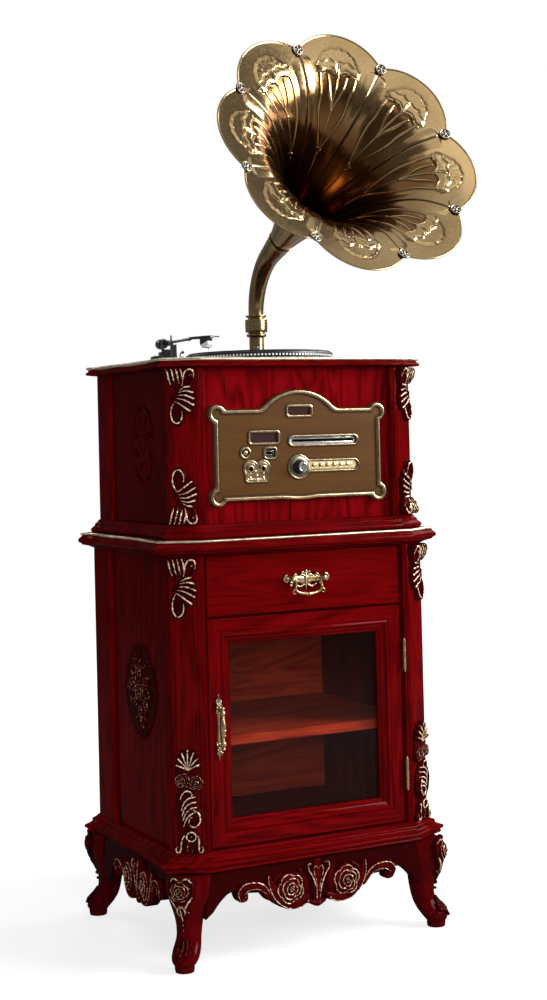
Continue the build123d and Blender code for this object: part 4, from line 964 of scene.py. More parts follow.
def medallion(a, b):
    """Pointed oval of beads round a spray of flowers."""
    c = Carving(a, b)
    u, v = a / 73, b / 86
    oval = np.abs(u) ** 1.7 + np.abs(v) ** 1.45
    c.body((oval ** 0.62 - 1) * 74, 2.2, 3.0)
    for i in range(44):
        t = 2 * math.pi * i / 44
        ct, st = math.cos(t), math.sin(t)
        k = (abs(ct) ** 1.7 + abs(st) ** 1.45) ** -0.6
        c.pearl(70 * k * ct, 82.5 * k * st, 2.7, 5.2, 0.9)
    c.rose(0, 0, 19, 9, 0.4, 1.0)
    for x, z, r in ((-28, 16, 11), (27, 20, 11), (-26, -22, 11), (29, -18, 10), (1, 37, 12), (-3, -38, 12),
                    (14, 57, 7), (-13, -59, 7), (-45, -4, 8), (46, 3, 8)):
        c.rose(x, z, r, 7.5, x * 0.3 + z * 0.2, 1.0)
    for i in range(26):
        t = 2 * math.pi * (i + 0.5) / 26
        r0, r1 = (22, 40) if i % 2 else (40, 57)
        x0, z0 = r0 * 0.86 * math.cos(t), r0 * 1.05 * math.sin(t)
        x1, z1 = r1 * 0.86 * math.cos(t + 0.16), r1 * 1.1 * math.sin(t + 0.16)
        c.ridge([(x0, z0), ((x0 + x1) / 2 + 1.5, (z0 + z1) / 2), (x1, z1)], [1.2, 2.8, 0.9], [4, 6, 3],
                0.95, 3)
    for s in (-1, 1):
        c.ridge([(0, s * 60), (s * 3, s * 68), (0, s * 77)], [2.6, 3.4, 1.2], [5, 7, 4], 0.8)
    return c


def medallions():
    left = relief((-75, 75, -88, 88), 0.9, medallion, on_left(-LOWER[0] + 6, SIDE_Y, 446), -0.5)
    looks("side_medallions", "cabinet", [BRACKET], [left, left.mirrored()], attributes=True, sharp=60)


# ---------------------------------------------------------------- drawer and door
FACE_Y = -195.0                 # front of door and drawer
DOOR_HALF = 191                 # half the door's width


def mitred_frame(x, z0, z1, profile):
    """Frame whose section is (distance in from the edge, y) points, mitred at the corners."""
    rings = []
    for d, y in profile:
        rings.append([(-x + d, y, z0 + d), (x - d, y, z0 + d), (x - d, y, z1 - d), (-x + d, y, z1 - d)])
    rings = np.array(rings)
    n = len(rings)
    verts, faces, mats = [], [], []
    for side in range(4):                           # separate sides keep the mitres crisp
        base = len(verts) * 2 * n
        a, b = rings[:, side], rings[:, (side + 1) % 4]
        verts.append(np.concatenate([a, b]))
        for i in range(n):
            j = (i + 1) % n
            faces.append([base + j, base + i, base + n + i, base + n + j])
            mats.append(side % 2)
        faces += [[base + i for i in range(n)], [base + n + i for i in range(n)][::-1]]
        mats += [side % 2] * 2
    return Geo(np.concatenate(verts), faces, mats)


def door():
    y = FACE_Y
    profile = [(0, y + 20), (0, y + 1.6), (0.5, y + 0.6), (1.6, y), (20, y), (22.5, y - 0.1),
               (23.2, y + 0.9), (24.4, y + 1.3), (25.4, y + 0.7), (26.4, y - 0.7), (28.2, y - 1.5),
               (30.2, y - 1.2), (31.6, y + 0.3), (32.4, y + 2.2), (34.5, y + 3.2), (37.5, y + 4.4),
               (39.4, y + 6.6), (40.2, y + 9), (41.4, y + 9.6), (43.6, y + 10), (44.6, y + 11),
               (45, y + 12.5), (45, y + 14), (39, y + 14), (39, y + 20)]
    looks("door_frame", "door", [WOOD_X, WOOD_Z], [mitred_frame(DOOR_HALF, 194, 581.5, profile)], sharp=28)
    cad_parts["door_glass"].data.materials.clear()
    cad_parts["door_glass"].data.materials.append(GLASS)
    handle()
    hinges()


def handle():
    """Grip turned like a baluster between two pierced leaf plates."""
    x, middle = -174.0, 398.0

    def leafy(a, b):
        c = Carving(a, b)
        for s in (-1, 1):
            c.ridge([(0, s * 31), (0, s * 42), (0, s * 55.5)], [4.6, 4.2, 1.0], [3.4, 4.2, 1.8], 0.6)
            c.ridge([(0, s * 36), (0, s * 46), (0, s * 54)], [1.0, 1.3, 0.8], [4.5, 5.2, 3])
            c.pair([(1.2, s * 40), (4.4, s * 43), (3.4, s * 48)], [1.1, 1.5, 0.7], [4, 4.8, 3])
            c.pair([(1.0, s * 30), (5.0, s * 28), (4.4, s * 23)], [1.4, 1.6, 0.7], [4, 4.4, 2])
            for side in (-1, 1):
                c.scroll(side * 3.6, s * 36, 3.6, 0.9, math.pi / 2, 1.3, 5.0, 1.0, side)
        c.ridge([(0, -34), (0, 0), (0, 34)], [3.6, 2.2, 3.6], [2.4, 1.6, 2.4], 0.3)
        return c

    plate = relief((-8, 8, -57, 57), 0.4, leafy, on_front(x, FACE_Y, middle), 0.0)
    grip_y = FACE_Y - 17.5
    profile = [(0, -37), (2.2, -36.6), (3.6, -35), (3.9, -33.4), (2.6, -32), (2.2, -31.2), (3.4, -30.4),
               (4.9, -28.6), (5.5, -26), (5.1, -23.2), (3.4, -21), (2.7, -20.2), (3.6, -19.4), (3.6, -18.4),
               (2.8, -17.6), (3.1, -14), (4.1, -7), (5.1, 0), (5.6, 4), (5.2, 8), (4.0, 13), (3.0, 16.4),
               (2.6, 17.6), (3.6, 18.6), (3.6, 19.8), (2.6, 20.8), (3.4, 22), (4.7, 24.6), (4.9, 27),
               (3.8, 29.6), (2.4, 31), (2.2, 31.8), (3.6, 33.2), (3.8, 34.8), (2.6, 36.4), (0, 37)]
    smooth = spline(profile, 3)
    grip = lathe(smooth, (x, grip_y, middle), "Z", 28)
    posts = [lathe([(0, 0), (4.4, 0), (4.2, 1.4), (2.6, 2.4), (2.3, 12), (2.8, 14.4), (2.9, 17), (0, 17.5)],
                   (x, FACE_Y - 0.6, z), "Y", 20) for z in (middle - 30, middle + 30)]
    for post in posts:
        post.verts[:, 1] = 2 * (FACE_Y - 0.6) - post.verts[:, 1]
    vine = []
    t = np.linspace(-15, 15, 60)
    for turn in (0, math.pi):
        swell = np.interp(t, [-15, 4, 15], [3.0, 5.7, 3.3])
        vine.append(tube(np.stack([x + swell * np.cos(t * 0.34 + turn),
                                   grip_y + swell * np.sin(t * 0.34 + turn), middle + t], -1), 0.55, 6))
    looks("door_handle", "door", [ANTIQUE], [plate, grip, *posts, *vine], attributes=True, sharp=45)


def hinges():
    """Butt hinges: knuckled barrel with ball tips and leaves let into the door and post edges."""
    x, y = 193.5, -203.2
    post_leaf, door_leaf = (194.8, 196), (DOOR_HALF, 192.1)
    post, door_side = [], []
    for middle in (280.0, 492.0):
        z0, z1 = middle - 27, middle + 27
        for k, store in enumerate((post, door_side, post)):
            low = z0 + 18 * k + 0.15
            high = low + 17.7
            store.append(lathe([(0, low), (2.5, low), (3, low + 0.5), (3, high - 0.5), (2.5, high),
                                (0, high)], (x, y, 0), "Z", 24))
            leaf = post_leaf if store is post else door_leaf
            store.append(brick(*leaf, y + 1, y + 4, low, high))
        post.append(brick(*post_leaf, y + 3.3, -178, z0, z1))
        door_side.append(brick(*door_leaf, y + 3.3, -178, z0, z1))
        for z, s in ((z0, -1), (z1, 1)):
            tip = [(0, 0), (2.3, 0), (2.4, 0.7), (1.5, 1.2), (1.9, 1.9), (1.2, 2.9), (0, 3.2)]
            post.append(lathe([(r, z + s * h) for r, h in tip], (x, y, 0), "Z", 20))
    looks("hinge_post_leaves", "cabinet", [ANTIQUE], post)
    looks("hinge_door_leaves", "door", [ANTIQUE], door_side)


def drawer():
    front = brick(-190.5, 190.5, FACE_Y, FACE_Y + 18, 585.5, 688.5)
    looks("drawer_front", "drawer", [DRAWER_WOOD], [front], bevel=1.8)

    def bat_wing(a, b):
        c = Carving(a, b)
        c.pair([(4, 2), (16, 5), (28, 4), (38, 6)], [8, 6, 5.5, 4], [2.6, 3, 3.2, 3.2], 0.25)
        c.pair([(2, 9), (8, 12), (14, 9)], [1.8, 2.2, 1.2], [4, 4.8, 3.2])
        c.pair([(3, 14), (7, 17), (9, 13.6)], [1.4, 1.8, 1.0], [3.6, 4.4, 3])
        c.pair([(4, -6), (12, -9), (21, -5)], [2.0, 2.3, 1.4], [3.4, 4, 3], 0.9)
        c.pair([(30, 3), (24, 1), (15, 0), (5, 1)], [1.0, 1.2, 1.2, 0.9], [4, 4.6, 4.6, 4], 0.9)
        for s in (-1, 1):
            c.scroll(s * 38, 5, 7.2, 1.15, math.pi / 2, 1.9, 5.2, 1.0, -s)
            c.scroll(s * 21, 10, 4.8, 1.1, -math.pi / 2, 1.5, 4.6, 1.0, s)
            c.scroll(s * 30, -4.5, 4.0, 1.0, math.pi / 2, 1.4, 4.2, 1.0, s)
        c.pearl(0, 17.6, 2.7, 5.4)
        c.ridge([(0, 14), (0, 6), (0, -4), (0, -14)], [2.4, 3.6, 2.8, 1.0], [4.2, 5.6, 4.6, 2.4], 0.8)
        return c

    plate = relief((-48, 48, -17, 22), 0.45, bat_wing, on_front(0, FACE_Y, 636), 0.0)
    pivot_y, z = FACE_Y - 13, 641.0
    bosses = []
    for x in (-31, 31):
        profile = [(0, 0), (5.6, 0), (5.2, 2), (3.6, 3.4), (3.4, 8), (4.6, 9.4), (5.0, 12), (4.4, 15.6),
                   (2.8, 17.2), (0, 17.5)]
        geo = lathe(profile, (0, 0, 0), "Y", 28)
        geo.verts = geo.verts * (1, -1, 1) + (x, FACE_Y, z)
        bosses.append(geo)
    looks("drawer_pull_plate", "drawer", [ANTIQUE], [plate, *bosses], attributes=True, sharp=50)
    path = spline([(-36, z, 0), (-27, z, 0), (-24.5, z - 3, 0), (-25, z - 10, 0), (-26, z - 17, 0),
                   (-20, z - 23, 0), (-9, z - 25.6, 0), (0, z - 26.4, 0), (9, z - 25.6, 0), (20, z - 23, 0),
                   (26, z - 17, 0), (25, z - 10, 0), (24.5, z - 3, 0), (27, z, 0), (36, z, 0)], 6)
    line = np.stack([path[:, 0], np.full(len(path), pivot_y), path[:, 1]], -1)
    girth = [1.4, 1.4, 1.7, 2.2, 2.5, 2.1, 2.6, 3.2, 2.6, 2.1, 2.5, 2.2, 1.7, 1.4, 1.4]
    bail = [tube(line, girth, 14)]
    for x, drop, r in ((0, 26.4, 4.0), (-6.6, 26.0, 3.0), (6.6, 26.0, 3.0), (-25.6, 14, 3.0),
                       (25.6, 14, 3.0)):
        bail.append(ball((x, pivot_y, z - drop), r, sides=18, squash=(0.62 if r < 4 else 0.8, 0.9, 1)))
    for s in (-1, 1):
        curl = spline([(s * 26, z - 17), (s * 31, z - 20), (s * 30, z - 25), (s * 26, z - 24)], 5)
        bail.append(tube(np.stack([curl[:, 0], np.full(len(curl), pivot_y), curl[:, 1]], -1),
                         [1.6, 1.2, 0.8], 8))
    looks("drawer_bail", "drawer_bail", [ANTIQUE], bail, attributes=True, sharp=50)


DRAWER_WOOD = lacquered("mahogany_drawer", "X", dark=rgb(0.040, 0.0004, 0.0006),
                        mid=rgb(0.085, 0.0007, 0.0010), bright=rgb(0.130, 0.0013, 0.0020), figure=0.8)


# ---------------------------------------------------------------- console
GRILLE = (-36.0, 881.0)         # middle of the oval, in y and z


def fretwork(a, b):
    """Side panel of the console, pierced by an oval of scrolls round a flower; a is y, b is z."""
    c = Carving(a, b)
    y, z = a - GRILLE[0], b - GRILLE[1]
    panel = np.maximum(np.maximum(-150.5 - a, a - 104.5), np.maximum(CONSOLE - b, b - 1011))
    ring = np.hypot(y / 52, z / 70)
    angle = np.arctan2(z / 70, y / 52)
    holes = np.full_like(a, 1e3)
    band = np.abs(ring - 0.93) * 58 - 3.4                     # outer ring of four long slots
    holes = np.minimum(holes,
                       np.maximum(band, 5.0 - np.abs(((angle / (math.pi / 2) + 0.5) % 1) - 0.5) * 84 - 1))
    for k in range(8):                                        # leaf shaped slots
        turn = math.pi / 8 + k * math.pi / 4
        cy, cz = 52 * 0.62 * math.cos(turn), 70 * 0.62 * math.sin(turn)
        along = (y - cy) * math.cos(turn + 0.5) + (z - cz) * math.sin(turn + 0.5)
        over = -(y - cy) * math.sin(turn + 0.5) + (z - cz) * math.cos(turn + 0.5)
        holes = np.minimum(holes, (np.hypot(along / 13, over / 5.2) - 1) * 5.2)
    for k in range(6):
        turn = k * math.pi / 3
        holes = np.minimum(holes, disc_field(y, z, 11.5 * math.cos(turn), 13.5 * math.sin(turn), 4.0))
    c.body(np.maximum(panel, -holes), 0.8, 1.2)
    return c


def console_sides():
    left = relief((-150.5, 104.5, CONSOLE, 1011), 1.25, fretwork, on_left(-UPPER[0] + 6, 0, 0), -11.2)
    cloth = lathe([(0, 0), (58, 0), (60, 1), (60, 3), (0, 3)], (0, 0, 0), "X", 64)
    cloth = cloth.moved(lambda v: v * (1, 0.97, 1.22) + (-UPPER[0] + 18.6, *GRILLE))
    looks("console_side_panels", "cabinet", [CONSOLE_SIDE], [left, left.mirrored()], sharp=40)
    piece("speaker_cloth", "cabinet", [MATT_BLACK], [cloth, cloth.mirrored()], slot="speaker_black")


CONSOLE_SIDE = lacquered("mahogany_console_side", "Z", dark=rgb(0.02, 0.0003, 0.0005),
                         mid=rgb(0.055, 0.0005, 0.001), bright=rgb(0.09, 0.001, 0.002), figure=0.5)
FASCIA_Y = -184.0
# middles of the fascia's parts in x and z; the presets share the scale's height
JACKS = ((-96.5, 834.5), (-72.5, 834.5))
DIAL = (-1.3, 835.6)
SCALE = (64, 837)
DISC_SLOT = (48.7, 881.5)
POWER = (-105.7, 862.6)
SOCKET = (-57.5, 861.3)
PRESETS = [29.0 + 13.7 * i for i in range(6)]


def fascia_plate(a, b):
    """Bronze plate with round ears, an arched top and beaded rims round each opening."""
    c = Carving(a, b)
    outline = box_field(a, b, 0, 859, 165, 79.5, 3)
    for x in (-158.6, 158.6):
        for z in (787.5, 930.5):
            outline = soft_union(outline, disc_field(a, b, x, z, 17), 3.5)
    outline = soft_union(outline, disc_field(a, b, 0, 875.5, 96.5), 8)
    c.d = outline
    t = -outline
    rim = np.sqrt(np.clip(1 - ((t - 4.2) / 4.2) ** 2, 0, 1))
    c.h = np.where(t > 0, 0.6 + 4.6 * rim, 0)
    c.gilt_and_painted_highlight = np.where(t > 8.4, 0.0, 0.35 + 0.65 * rim)
    # groove marks where painted shade darkens the plate
    groove = np.exp(-((t - 9.6) / 1.3) ** 2)
    windows = [box_field(a, b, 1.7, 934, 22, 6.5, 1.5), box_field(a, b, -69, 888.5, 26.5, 8, 1.5),
               box_field(a, b, *DISC_SLOT, 67, 6, 6), box_field(a, b, *SCALE, 53, 7.5, 7.4),
               disc_field(a, b, *POWER, 6.4), box_field(a, b, *SOCKET, 9.6, 7.2, 3.5)]
    rims = [5.6, 5.2, 4.6, 4.2, 4.8, 4.6]
    knob = disc_field(a, b, *DIAL, 18.2)
    windows[3] = soft_union(windows[3], knob, 2.5)
    bow = box_field(a, b, -84.5, 823, 19.5, 8.6, 3)
    for x, z in JACKS:
        bow = soft_union(bow, disc_field(a, b, x, z + 1.5, 10.5), 3)
    bow = np.maximum(bow, -disc_field(a, b, -84.5, 812, 3.2))
    for field, wide in zip(windows + [bow], rims + [4.4]):
        bead = np.sqrt(np.clip(1 - ((field - wide * 0.5) / (wide * 0.5)) ** 2, 0, 1)) * (field > 0)
        c.h = np.maximum(c.h, 0.6 + 2.8 * bead)
        c.gilt_and_painted_highlight = np.maximum(c.gilt_and_painted_highlight, bead * 0.95)
        groove = np.maximum(groove, np.exp(-((field - wide - 0.8) / 1.0) ** 2))
    plate = (bow < 0) & (t > 0)
    c.h = np.where(plate, 1.2 + 0.8 * np.exp(-((bow + 1.5) / 1.2) ** 2), c.h)
    c.gilt_and_painted_highlight = np.where(plate, 0.9 - 0.5 * np.exp(-((bow + 0.2) / 0.9) ** 2), c.gilt_and_painted_highlight)
    for x, z in ((-97, 819), (-84.5, 823), (-72, 819), (-97, 826.5), (-72, 826.5)):
        c.h += 0.9 * np.exp(-(np.hypot(a - x, b - z) / 1.5) ** 2) * plate
    holes = np.minimum(np.minimum(windows[0], windows[1]), np.minimum(windows[2], windows[4]))
    slot_hole = box_field(a, b, *SCALE, 53, 7.5, 7.4)
    holes = np.minimum(np.minimum(holes, windows[5]), np.minimum(slot_hole, disc_field(a, b, *DIAL, 6.0)))
    for x, z in JACKS:
        holes = np.minimum(holes, disc_field(a, b, x, z, 5.6))
    # low: painted shade in the groove inside the rim and round each bead
    c.low = np.clip(groove * (t > 8.4), 0, 1)
    c.d = np.maximum(outline, -holes)
    return c


def fascia():
    plate = relief((-178, 178, 768, 974), 0.72, fascia_plate, on_front(0, FASCIA_Y, 0), -8.0)
    looks("fascia_plate", "cabinet", [FASCIA], [plate], attributes=True, sharp=60)
    repaint("display_windows", DARK_PANE)
    y = FASCIA_Y

    def strip(a, b):
        c = Carving(a, b)
        field = box_field(a, b, *SCALE, 53, 7.6, 7.4)
        c.body(field, 0.8, 1.0)
        c.gilt_and_painted_highlight = np.where(field < -1.2, 0.6, 0.1)
        for x in PRESETS:
            ring = np.hypot(a - x, b - SCALE[1])
            c.h += 0.7 * np.exp(-((ring - 4.6) / 0.7) ** 2)
            c.d = np.maximum(c.d, 3.5 - ring)
            c.h += 0.6 * np.exp(-(np.hypot(a - x - 6.8, (b - 838.5) * 0.7) / 1.1) ** 2)
        return c

    scale = relief((10, 118, 828.5, 845.5), 0.42, strip, on_front(0, y + 1.6, 0), -1.8)
    marks = []
    for i, x in enumerate(PRESETS):
        marks.append(brick(x - 2.2, x + 2.2, y + 0.2, y + 0.9, 842.0, 842.7))
        marks.append(brick(x + 6.4, x + 7.2, y + 0.2, y + 0.9, 830.6, 832.6))
    piece("preset_scale", "cabinet", [CREAM], [scale], slot="antique_brass", attributes=True, sharp=50)
    piece("preset_scale_marks", "cabinet", [INK], marks, slot="black_plastic")
    dial = toward_front([(11.6, 0.4), (11.7, 2.4), (12.4, 3.0), (17.6, 3.0), (18.4, 2.4), (18.5, 0.4)],
                        *DIAL, sides=72)
    well = toward_front([(6.2, 0.4), (6.2, 1.4), (11.5, 1.4), (11.5, 0.4)], *DIAL, sides=48, mat=1)
    ticks = []
    for i in range(24):
        turn = math.radians(30 + 12.5 * i)
        across, along = math.cos(turn), math.sin(turn)
        near, far = (14.2 if i % 4 else 13.2), 17.0
        corners = [(r * along + w * across, r * across - w * along) for r, w in
                   ((near, -0.35), (far, -0.35), (far, 0.35), (near, 0.35))]
        ticks.append(prism([(x + DIAL[0], z + DIAL[1]) for x, z in corners], y - 3.2, y - 2.9, "Y"))
    piece("tuning_dial", "cabinet", [DIAL_METAL, BLACK], [dial, well], slot="chrome", attributes=True)
    piece("tuning_dial_marks", "cabinet", [INK], ticks, slot="black_plastic")
    controls()


def repaint(name, *mats):
    """A CAD node keeps its shape and takes better materials."""
    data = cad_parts[name].data
    data.materials.clear()
    for mat in mats:
        data.materials.append(mat)
    data.shade_smooth()
    data.set_sharp_from_angle(angle=math.radians(30))


def toward_front(profile, x, z, sides=40, mat=0, wave=None):
    """Turned part whose heights run out of the fascia."""
    geo = lathe(profile, (0, 0, 0), "Y", sides, mat, wave)
    geo.verts = geo.verts * (1, -1, 1) + (x, FASCIA_Y, z)
    return geo


def controls():
    y = FASCIA_Y
    knurl = lambda t: 0.022 * np.cos(36 * t)
    skirt = toward_front([(0, 2), (10.4, 2), (11.0, 2.6), (11.0, 6.4), (10.4, 7.2), (0, 7.2)], *DIAL,
                         sides=64, mat=2)
    grip = toward_front([(0, 7), (8.8, 7), (9.0, 7.8), (8.8, 15.4), (8.5, 16.2)], *DIAL, sides=144, mat=2,
                        wave=knurl)
    cap = toward_front([(8.75, 14.0), (8.7, 16.4), (8.0, 17.4), (7.2, 17.7), (6.8, 17.2), (0, 17.0)], *DIAL,
                       sides=64)
    shaft = toward_front([(0, -26), (3, -26), (3, 2), (0, 2)], *DIAL, sides=24)
    mark = prism([(-1.75, 837), (-1.55, 844.2), (-1.05, 844.2), (-0.85, 837)], y - 17.9, y - 16.9, "Y", 1)
    looks("tuning_knob", "tuning_knob", [CHROME, INK, BLACK], [skirt, grip, cap, shaft, mark])
    dome = toward_front([(0, -12), (5, -12), (5, 0.4), (4.8, 1.3), (3.9, 2.2), (2.4, 2.8), (0, 3)], *POWER)
    looks("power_button", "power_button", [ANTIQUE], [dome], attributes=True)
    for i, x in enumerate(PRESETS):
        cap = toward_front([(0, -10), (3, -10), (3, 0.4), (2.6, 1.1), (1.6, 1.45), (0, 1.5)], x, SCALE[1],
                           sides=28)
        looks(f"preset_button_{i + 1}", f"preset_button_{i + 1}", [ANTIQUE], [cap], attributes=True)
    rings = []
    for x, z in JACKS:
        rings.append(toward_front([(4.1, -5), (4.1, 3.2), (4.6, 3.7), (5.6, 3.6), (6.8, 2.9), (7.3, 1.8),
                                   (7.3, 0.3), (5.2, 0.3), (5.2, -5)], x, z, sides=48))
        rings.append(toward_front([(3.3, -6), (3.3, 3.0), (4.0, 3.0), (4.0, -6)], x, z, sides=36, mat=1))
    piece("jack_nuts", "cabinet", [ANTIQUE, BLACK], rings, slot="antique_brass", attributes=True)
    x, z = SOCKET
    plug = [brick(x - 6.6, x + 6.6, y + 0.8, y + 1.8, z + low, z + low + 0.8) for low in (2.5, -3.3)]
    piece("socket_lips", "cabinet", [CHROME], plug, slot="antique_brass", bevel=0.2)
    x = DISC_SLOT[0]
    tray = brick(x - 60, x + 60, y + 1.2, y + 2.6, 876.6, 878.6)
    lip = brick(x - 64, x + 64, y + 1.0, y + 2.4, 884.4, 886.6)
    piece("disc_slot_lips", "cabinet", [CHROME], [tray, lip], slot="chrome", bevel=0.5)


# ---------------------------------------------------------------- record deck
PLATTER = (9.0, -20.0)          # the spindle's x and y


def deck():
    x, y = PLATTER
    r = 136.0
    profile = [(5.05, 1039), (5.05, 1042.4), (30, 1042.5), (r - 5.6, 1042.5), (r - 3, 1042.4),
               (r - 1.2, 1041.8), (r - 0.3, 1040.6), (r, 1039), (r, 1038.2), (r - 0.9, 1037.6),
               (r - 0.9, 1034.0), (r, 1033.4), (r, 1031.6), (r - 0.5, 1030.7), (r - 1.6, 1030.5),
               (r - 5.4, 1030.6), (r - 6, 1031.2), (r - 6, 1037.6), (50, 1038.4), (50, 1030.5),
               (10, 1030.5), (5.05, 1030.6)]
    body = lathe(profile, (x, y, 0), "Z", 144)
    dots = []
    count = 132
    for i in range(count):                           # strobe blocks round the rim
        t = 2 * math.pi * i / count
        half = math.pi / count * 0.5
        inner, outer = r - 1.3, r - 0.3
        quad = [(x + k * math.cos(t + s), y + k * math.sin(t + s))
                for k, s in ((inner, -half), (outer, -half), (outer, half), (inner, half))]
        dots.append(prism(quad, 1034.2, 1037.3, "Z", 1))
    looks("platter", "platter", [PLATTER_BLACK, WHITE], [body, *dots])
    mat_profile = [(5.4, 1042.6)]
    for k in range(38):
        base = 18 + 2.9 * k
        mat_profile += [(base, 1044.3), (base + 0.5, 1043.7), (base + 1.2, 1043.7), (base + 1.7, 1044.3)]
    mat_profile += [(r - 6, 1044.5), (r - 5.1, 1044.1), (r - 5, 1043), (r - 5.4, 1042.55)]
    looks("platter_mat", "platter", [RUBBER], [lathe(mat_profile, (x, y, 0), "Z", 120)])
    spindle = lathe([(0, 1044), (3.6, 1044), (3.6, 1054.2), (3.3, 1055.4), (2.4, 1056.5), (1.1, 1057),
                     (0, 1057.1)], (x, y, 0), "Z", 24)
    washer = lathe([(3.7, 1044.4), (8.5, 1044.4), (8.4, 1045.0), (3.7, 1045.2)], (x, y, 0), "Z", 36)
    piece("spindle_tip", "cabinet", [CHROME], [spindle], slot="steel")
    piece("centre_washer", "platter", [CHROME], [washer], slot="platter_metal")


def tonearm():
    turn = math.radians(-95)
    c, s = math.cos(turn), math.sin(turn)
    arm_x, arm_y, arm_z = -122.0, 104.0, 1070.0

    def set_down(v):
        a, b, z = v.T
        return np.stack([arm_x + a * c - b * s, arm_y + a * s + b * c, z], -1)

    def along(geo):
        return geo.moved(set_down)

    base = lathe([(13, 1028), (31, 1028), (32, 1029), (32, 1042), (31.4, 1044), (29, 1045.4), (20, 1045.8),
                  (17.5, 1046.6), (17, 1048), (16.6, 1052), (15.6, 1053.6), (12.6, 1053.9), (4.1, 1054),
                  (4.1, 1040)], (arm_x, arm_y, 0), "Z", 56)
    screws = []
    for k in range(3):
        t = 2.1 * k + 0.4
        screws.append(lathe([(0, 1045), (3, 1045), (2.9, 1046.4), (2.0, 1047.0), (0, 1047.1)],
                            (arm_x + 24 * math.cos(t), arm_y + 24 * math.sin(t), 0), "Z", 20, 1))
    lever = tube([(arm_x + 17, arm_y - 22, 1034), (arm_x + 17, arm_y - 22, 1049),
                  (arm_x + 17, arm_y - 33, 1051)], [1.6, 1.4, 1.9], 10)
    knob = ball((arm_x + 17, arm_y - 33, 1051), 2.8)
    looks("arm_base", "cabinet", [BLACK, STEEL], [base, *screws, lever, knob])
    yoke = [lathe([(0, 1034.1), (4, 1034.1), (4, 1054.4), (11, 1054.4), (11.2, 1055.2), (11, 1057.4),
                   (9.8, 1058), (0, 1058)], (arm_x, arm_y, 0), "Z", 40)]
    for b0, b1 in ((-11, -8), (8, 11)):
        ear = prism([(-5.4, 1057), (5.4, 1057), (4.6, 1070), (3.4, 1074.4), (0, 1076), (-3.4, 1074.4),
                     (-4.6, 1070)], b0, b1, "Y")
        yoke.append(along(ear))
    looks("arm_gimbal", "arm_gimbal", [BLACK], yoke, bevel=0.4)
    bar = lathe([(0, -34), (3, -34), (3, 20), (3.6, 21), (3.6, 26), (2.7, 27), (2.7, 120), (3.5, 121),
                 (3.5, 130), (2.9, 131), (2.9, 134), (0, 134)], (0, 0, arm_z), "X", 24)
    core = brick(-7, 7, -7.4, 7.4, arm_z - 5, arm_z + 5, 1)
    pin = lathe([(0, -11), (1.5, -11), (1.5, 11), (0, 11)], (0, 0, arm_z), "Y", 16)
    looks("arm_tube", "tonearm", [STEEL, BLACK], [along(bar), along(core), along(pin)], bevel=0.25)
    weight = lathe([(3.2, -45), (8.2, -45), (9.2, -44), (9.5, -42.6), (9.5, -27), (8.8, -26), (8.8, -24.6),
                    (9.5, -24), (9.5, -21.4), (8.2, -20), (3.2, -20)], (0, 0, arm_z), "X", 56,
                   wave=lambda t: 0.008 * np.cos(40 * t))
    looks("counterweight", "tonearm", [BLACK], [along(weight)])
    bend = math.radians(23)
    cb, sb = math.cos(bend), math.sin(bend)

    def on_head(v):
        a, b, z = v.T
        return set_down(np.stack([134 + a * cb - b * sb, a * sb + b * cb, z], -1))

    shell = prism([(-1, -3.2), (5, -4), (10, -7.6), (46, -8), (54, -7), (57, -4.6), (57, 4.6), (54, 7),
                   (46, 8), (10, 7.6), (5, 4), (-1, 3.2)], arm_z - 1.6, arm_z + 2.6)
    lift = tube([(49, 8, arm_z + 1), (51, 14, arm_z + 1), (55, 19, arm_z + 1.5)], [1.2, 1.0, 1.1], 8)
    body = prism([(30, arm_z - 1.6), (30, arm_z - 12), (33, arm_z - 15), (47, arm_z - 15), (50, arm_z - 11),
                  (51, arm_z - 1.6)], -5.6, 5.6, "Y")
    guard = prism([(34, arm_z - 12), (35, arm_z - 18), (38, arm_z - 19), (48, arm_z - 18),
                   (51.6, arm_z - 13), (51.6, arm_z - 7), (46, arm_z - 8), (40, arm_z - 11)], -6.2, 6.2,
                  "Y", 1)
    needle = lathe([(0, arm_z - 22.3), (0.4, arm_z - 22.2), (1.5, arm_z - 18), (0, arm_z - 17)], (46, 0, 0),
                   "Z", 12, 2)
    screw = [lathe([(0, arm_z + 2.4), (1.9, arm_z + 2.4), (1.7, arm_z + 3.0), (0, arm_z + 3.0)], (38, b, 0),
                   "Z", 14, 2) for b in (-4, 4)]
    head = [g.moved(on_head) for g in (shell, lift, body, guard, needle, *screw)]
    looks("headshell", "tonearm", [BLACK, WHITE, STEEL], head, bevel=0.4)
    foot = [brick(36, 54, -9, 2, 1028, 1031), brick(38, 52, -7.4, 1.4, 1031, 1062),
            brick(40.6, 43.4, -7.4, -4.8, 1031, 1082), brick(40, 44, -5, 3, 1062, 1064.6),
            brick(40, 44, 2.2, 3.8, 1062, 1066)]
    looks("arm_rest", "cabinet", [BLACK], [along(g) for g in foot], bevel=0.5)


# ---------------------------------------------------------------- horn
HORN_X, HORN_Y = 80.0, 131.0            # the socket's axis
TILT = math.radians(25.7)               # the mouth looks up by this angle
BEND_R, BEND_Z = 125.0, 1126.5          # the gooseneck's radius, and the height where it starts to bend
MOUTH = np.array([HORN_X, -248.86, 1387.88])
MOUTH_OUT = np.array([0, -math.cos(TILT), math.sin(TILT)])
MOUTH_SIDE = np.array([1.0, 0, 0])
MOUTH_UP = np.cross(MOUTH_OUT, MOUTH_SIDE)
# bell profile: radius, and height along the mouth's axis
BELL = np.array([(22.6, -291), (26, -280), (32.5, -250), (40.5, -220), (49.5, -190), (60.5, -160),
                 (71, -135), (83, -111), (95, -90), (105, -75), (116.5, -60), (130, -45), (146, -30),
                 (164, -18), (190, -8), (218, 0), (240, 5), (256, 8)], float)
PETAL_PHASE = math.radians(12.9)        # angle of the first seam
PITCH = math.pi / 4                     # from one seam to the next


def bell_curve():
    """Fine table of the bell: arc length from the throat, radius and height."""
    line = spline(BELL, 24)
    arc = np.concatenate([[0], np.cumsum(np.hypot(*np.diff(line, axis=0).T))])
    return arc, line[:, 0], line[:, 1]


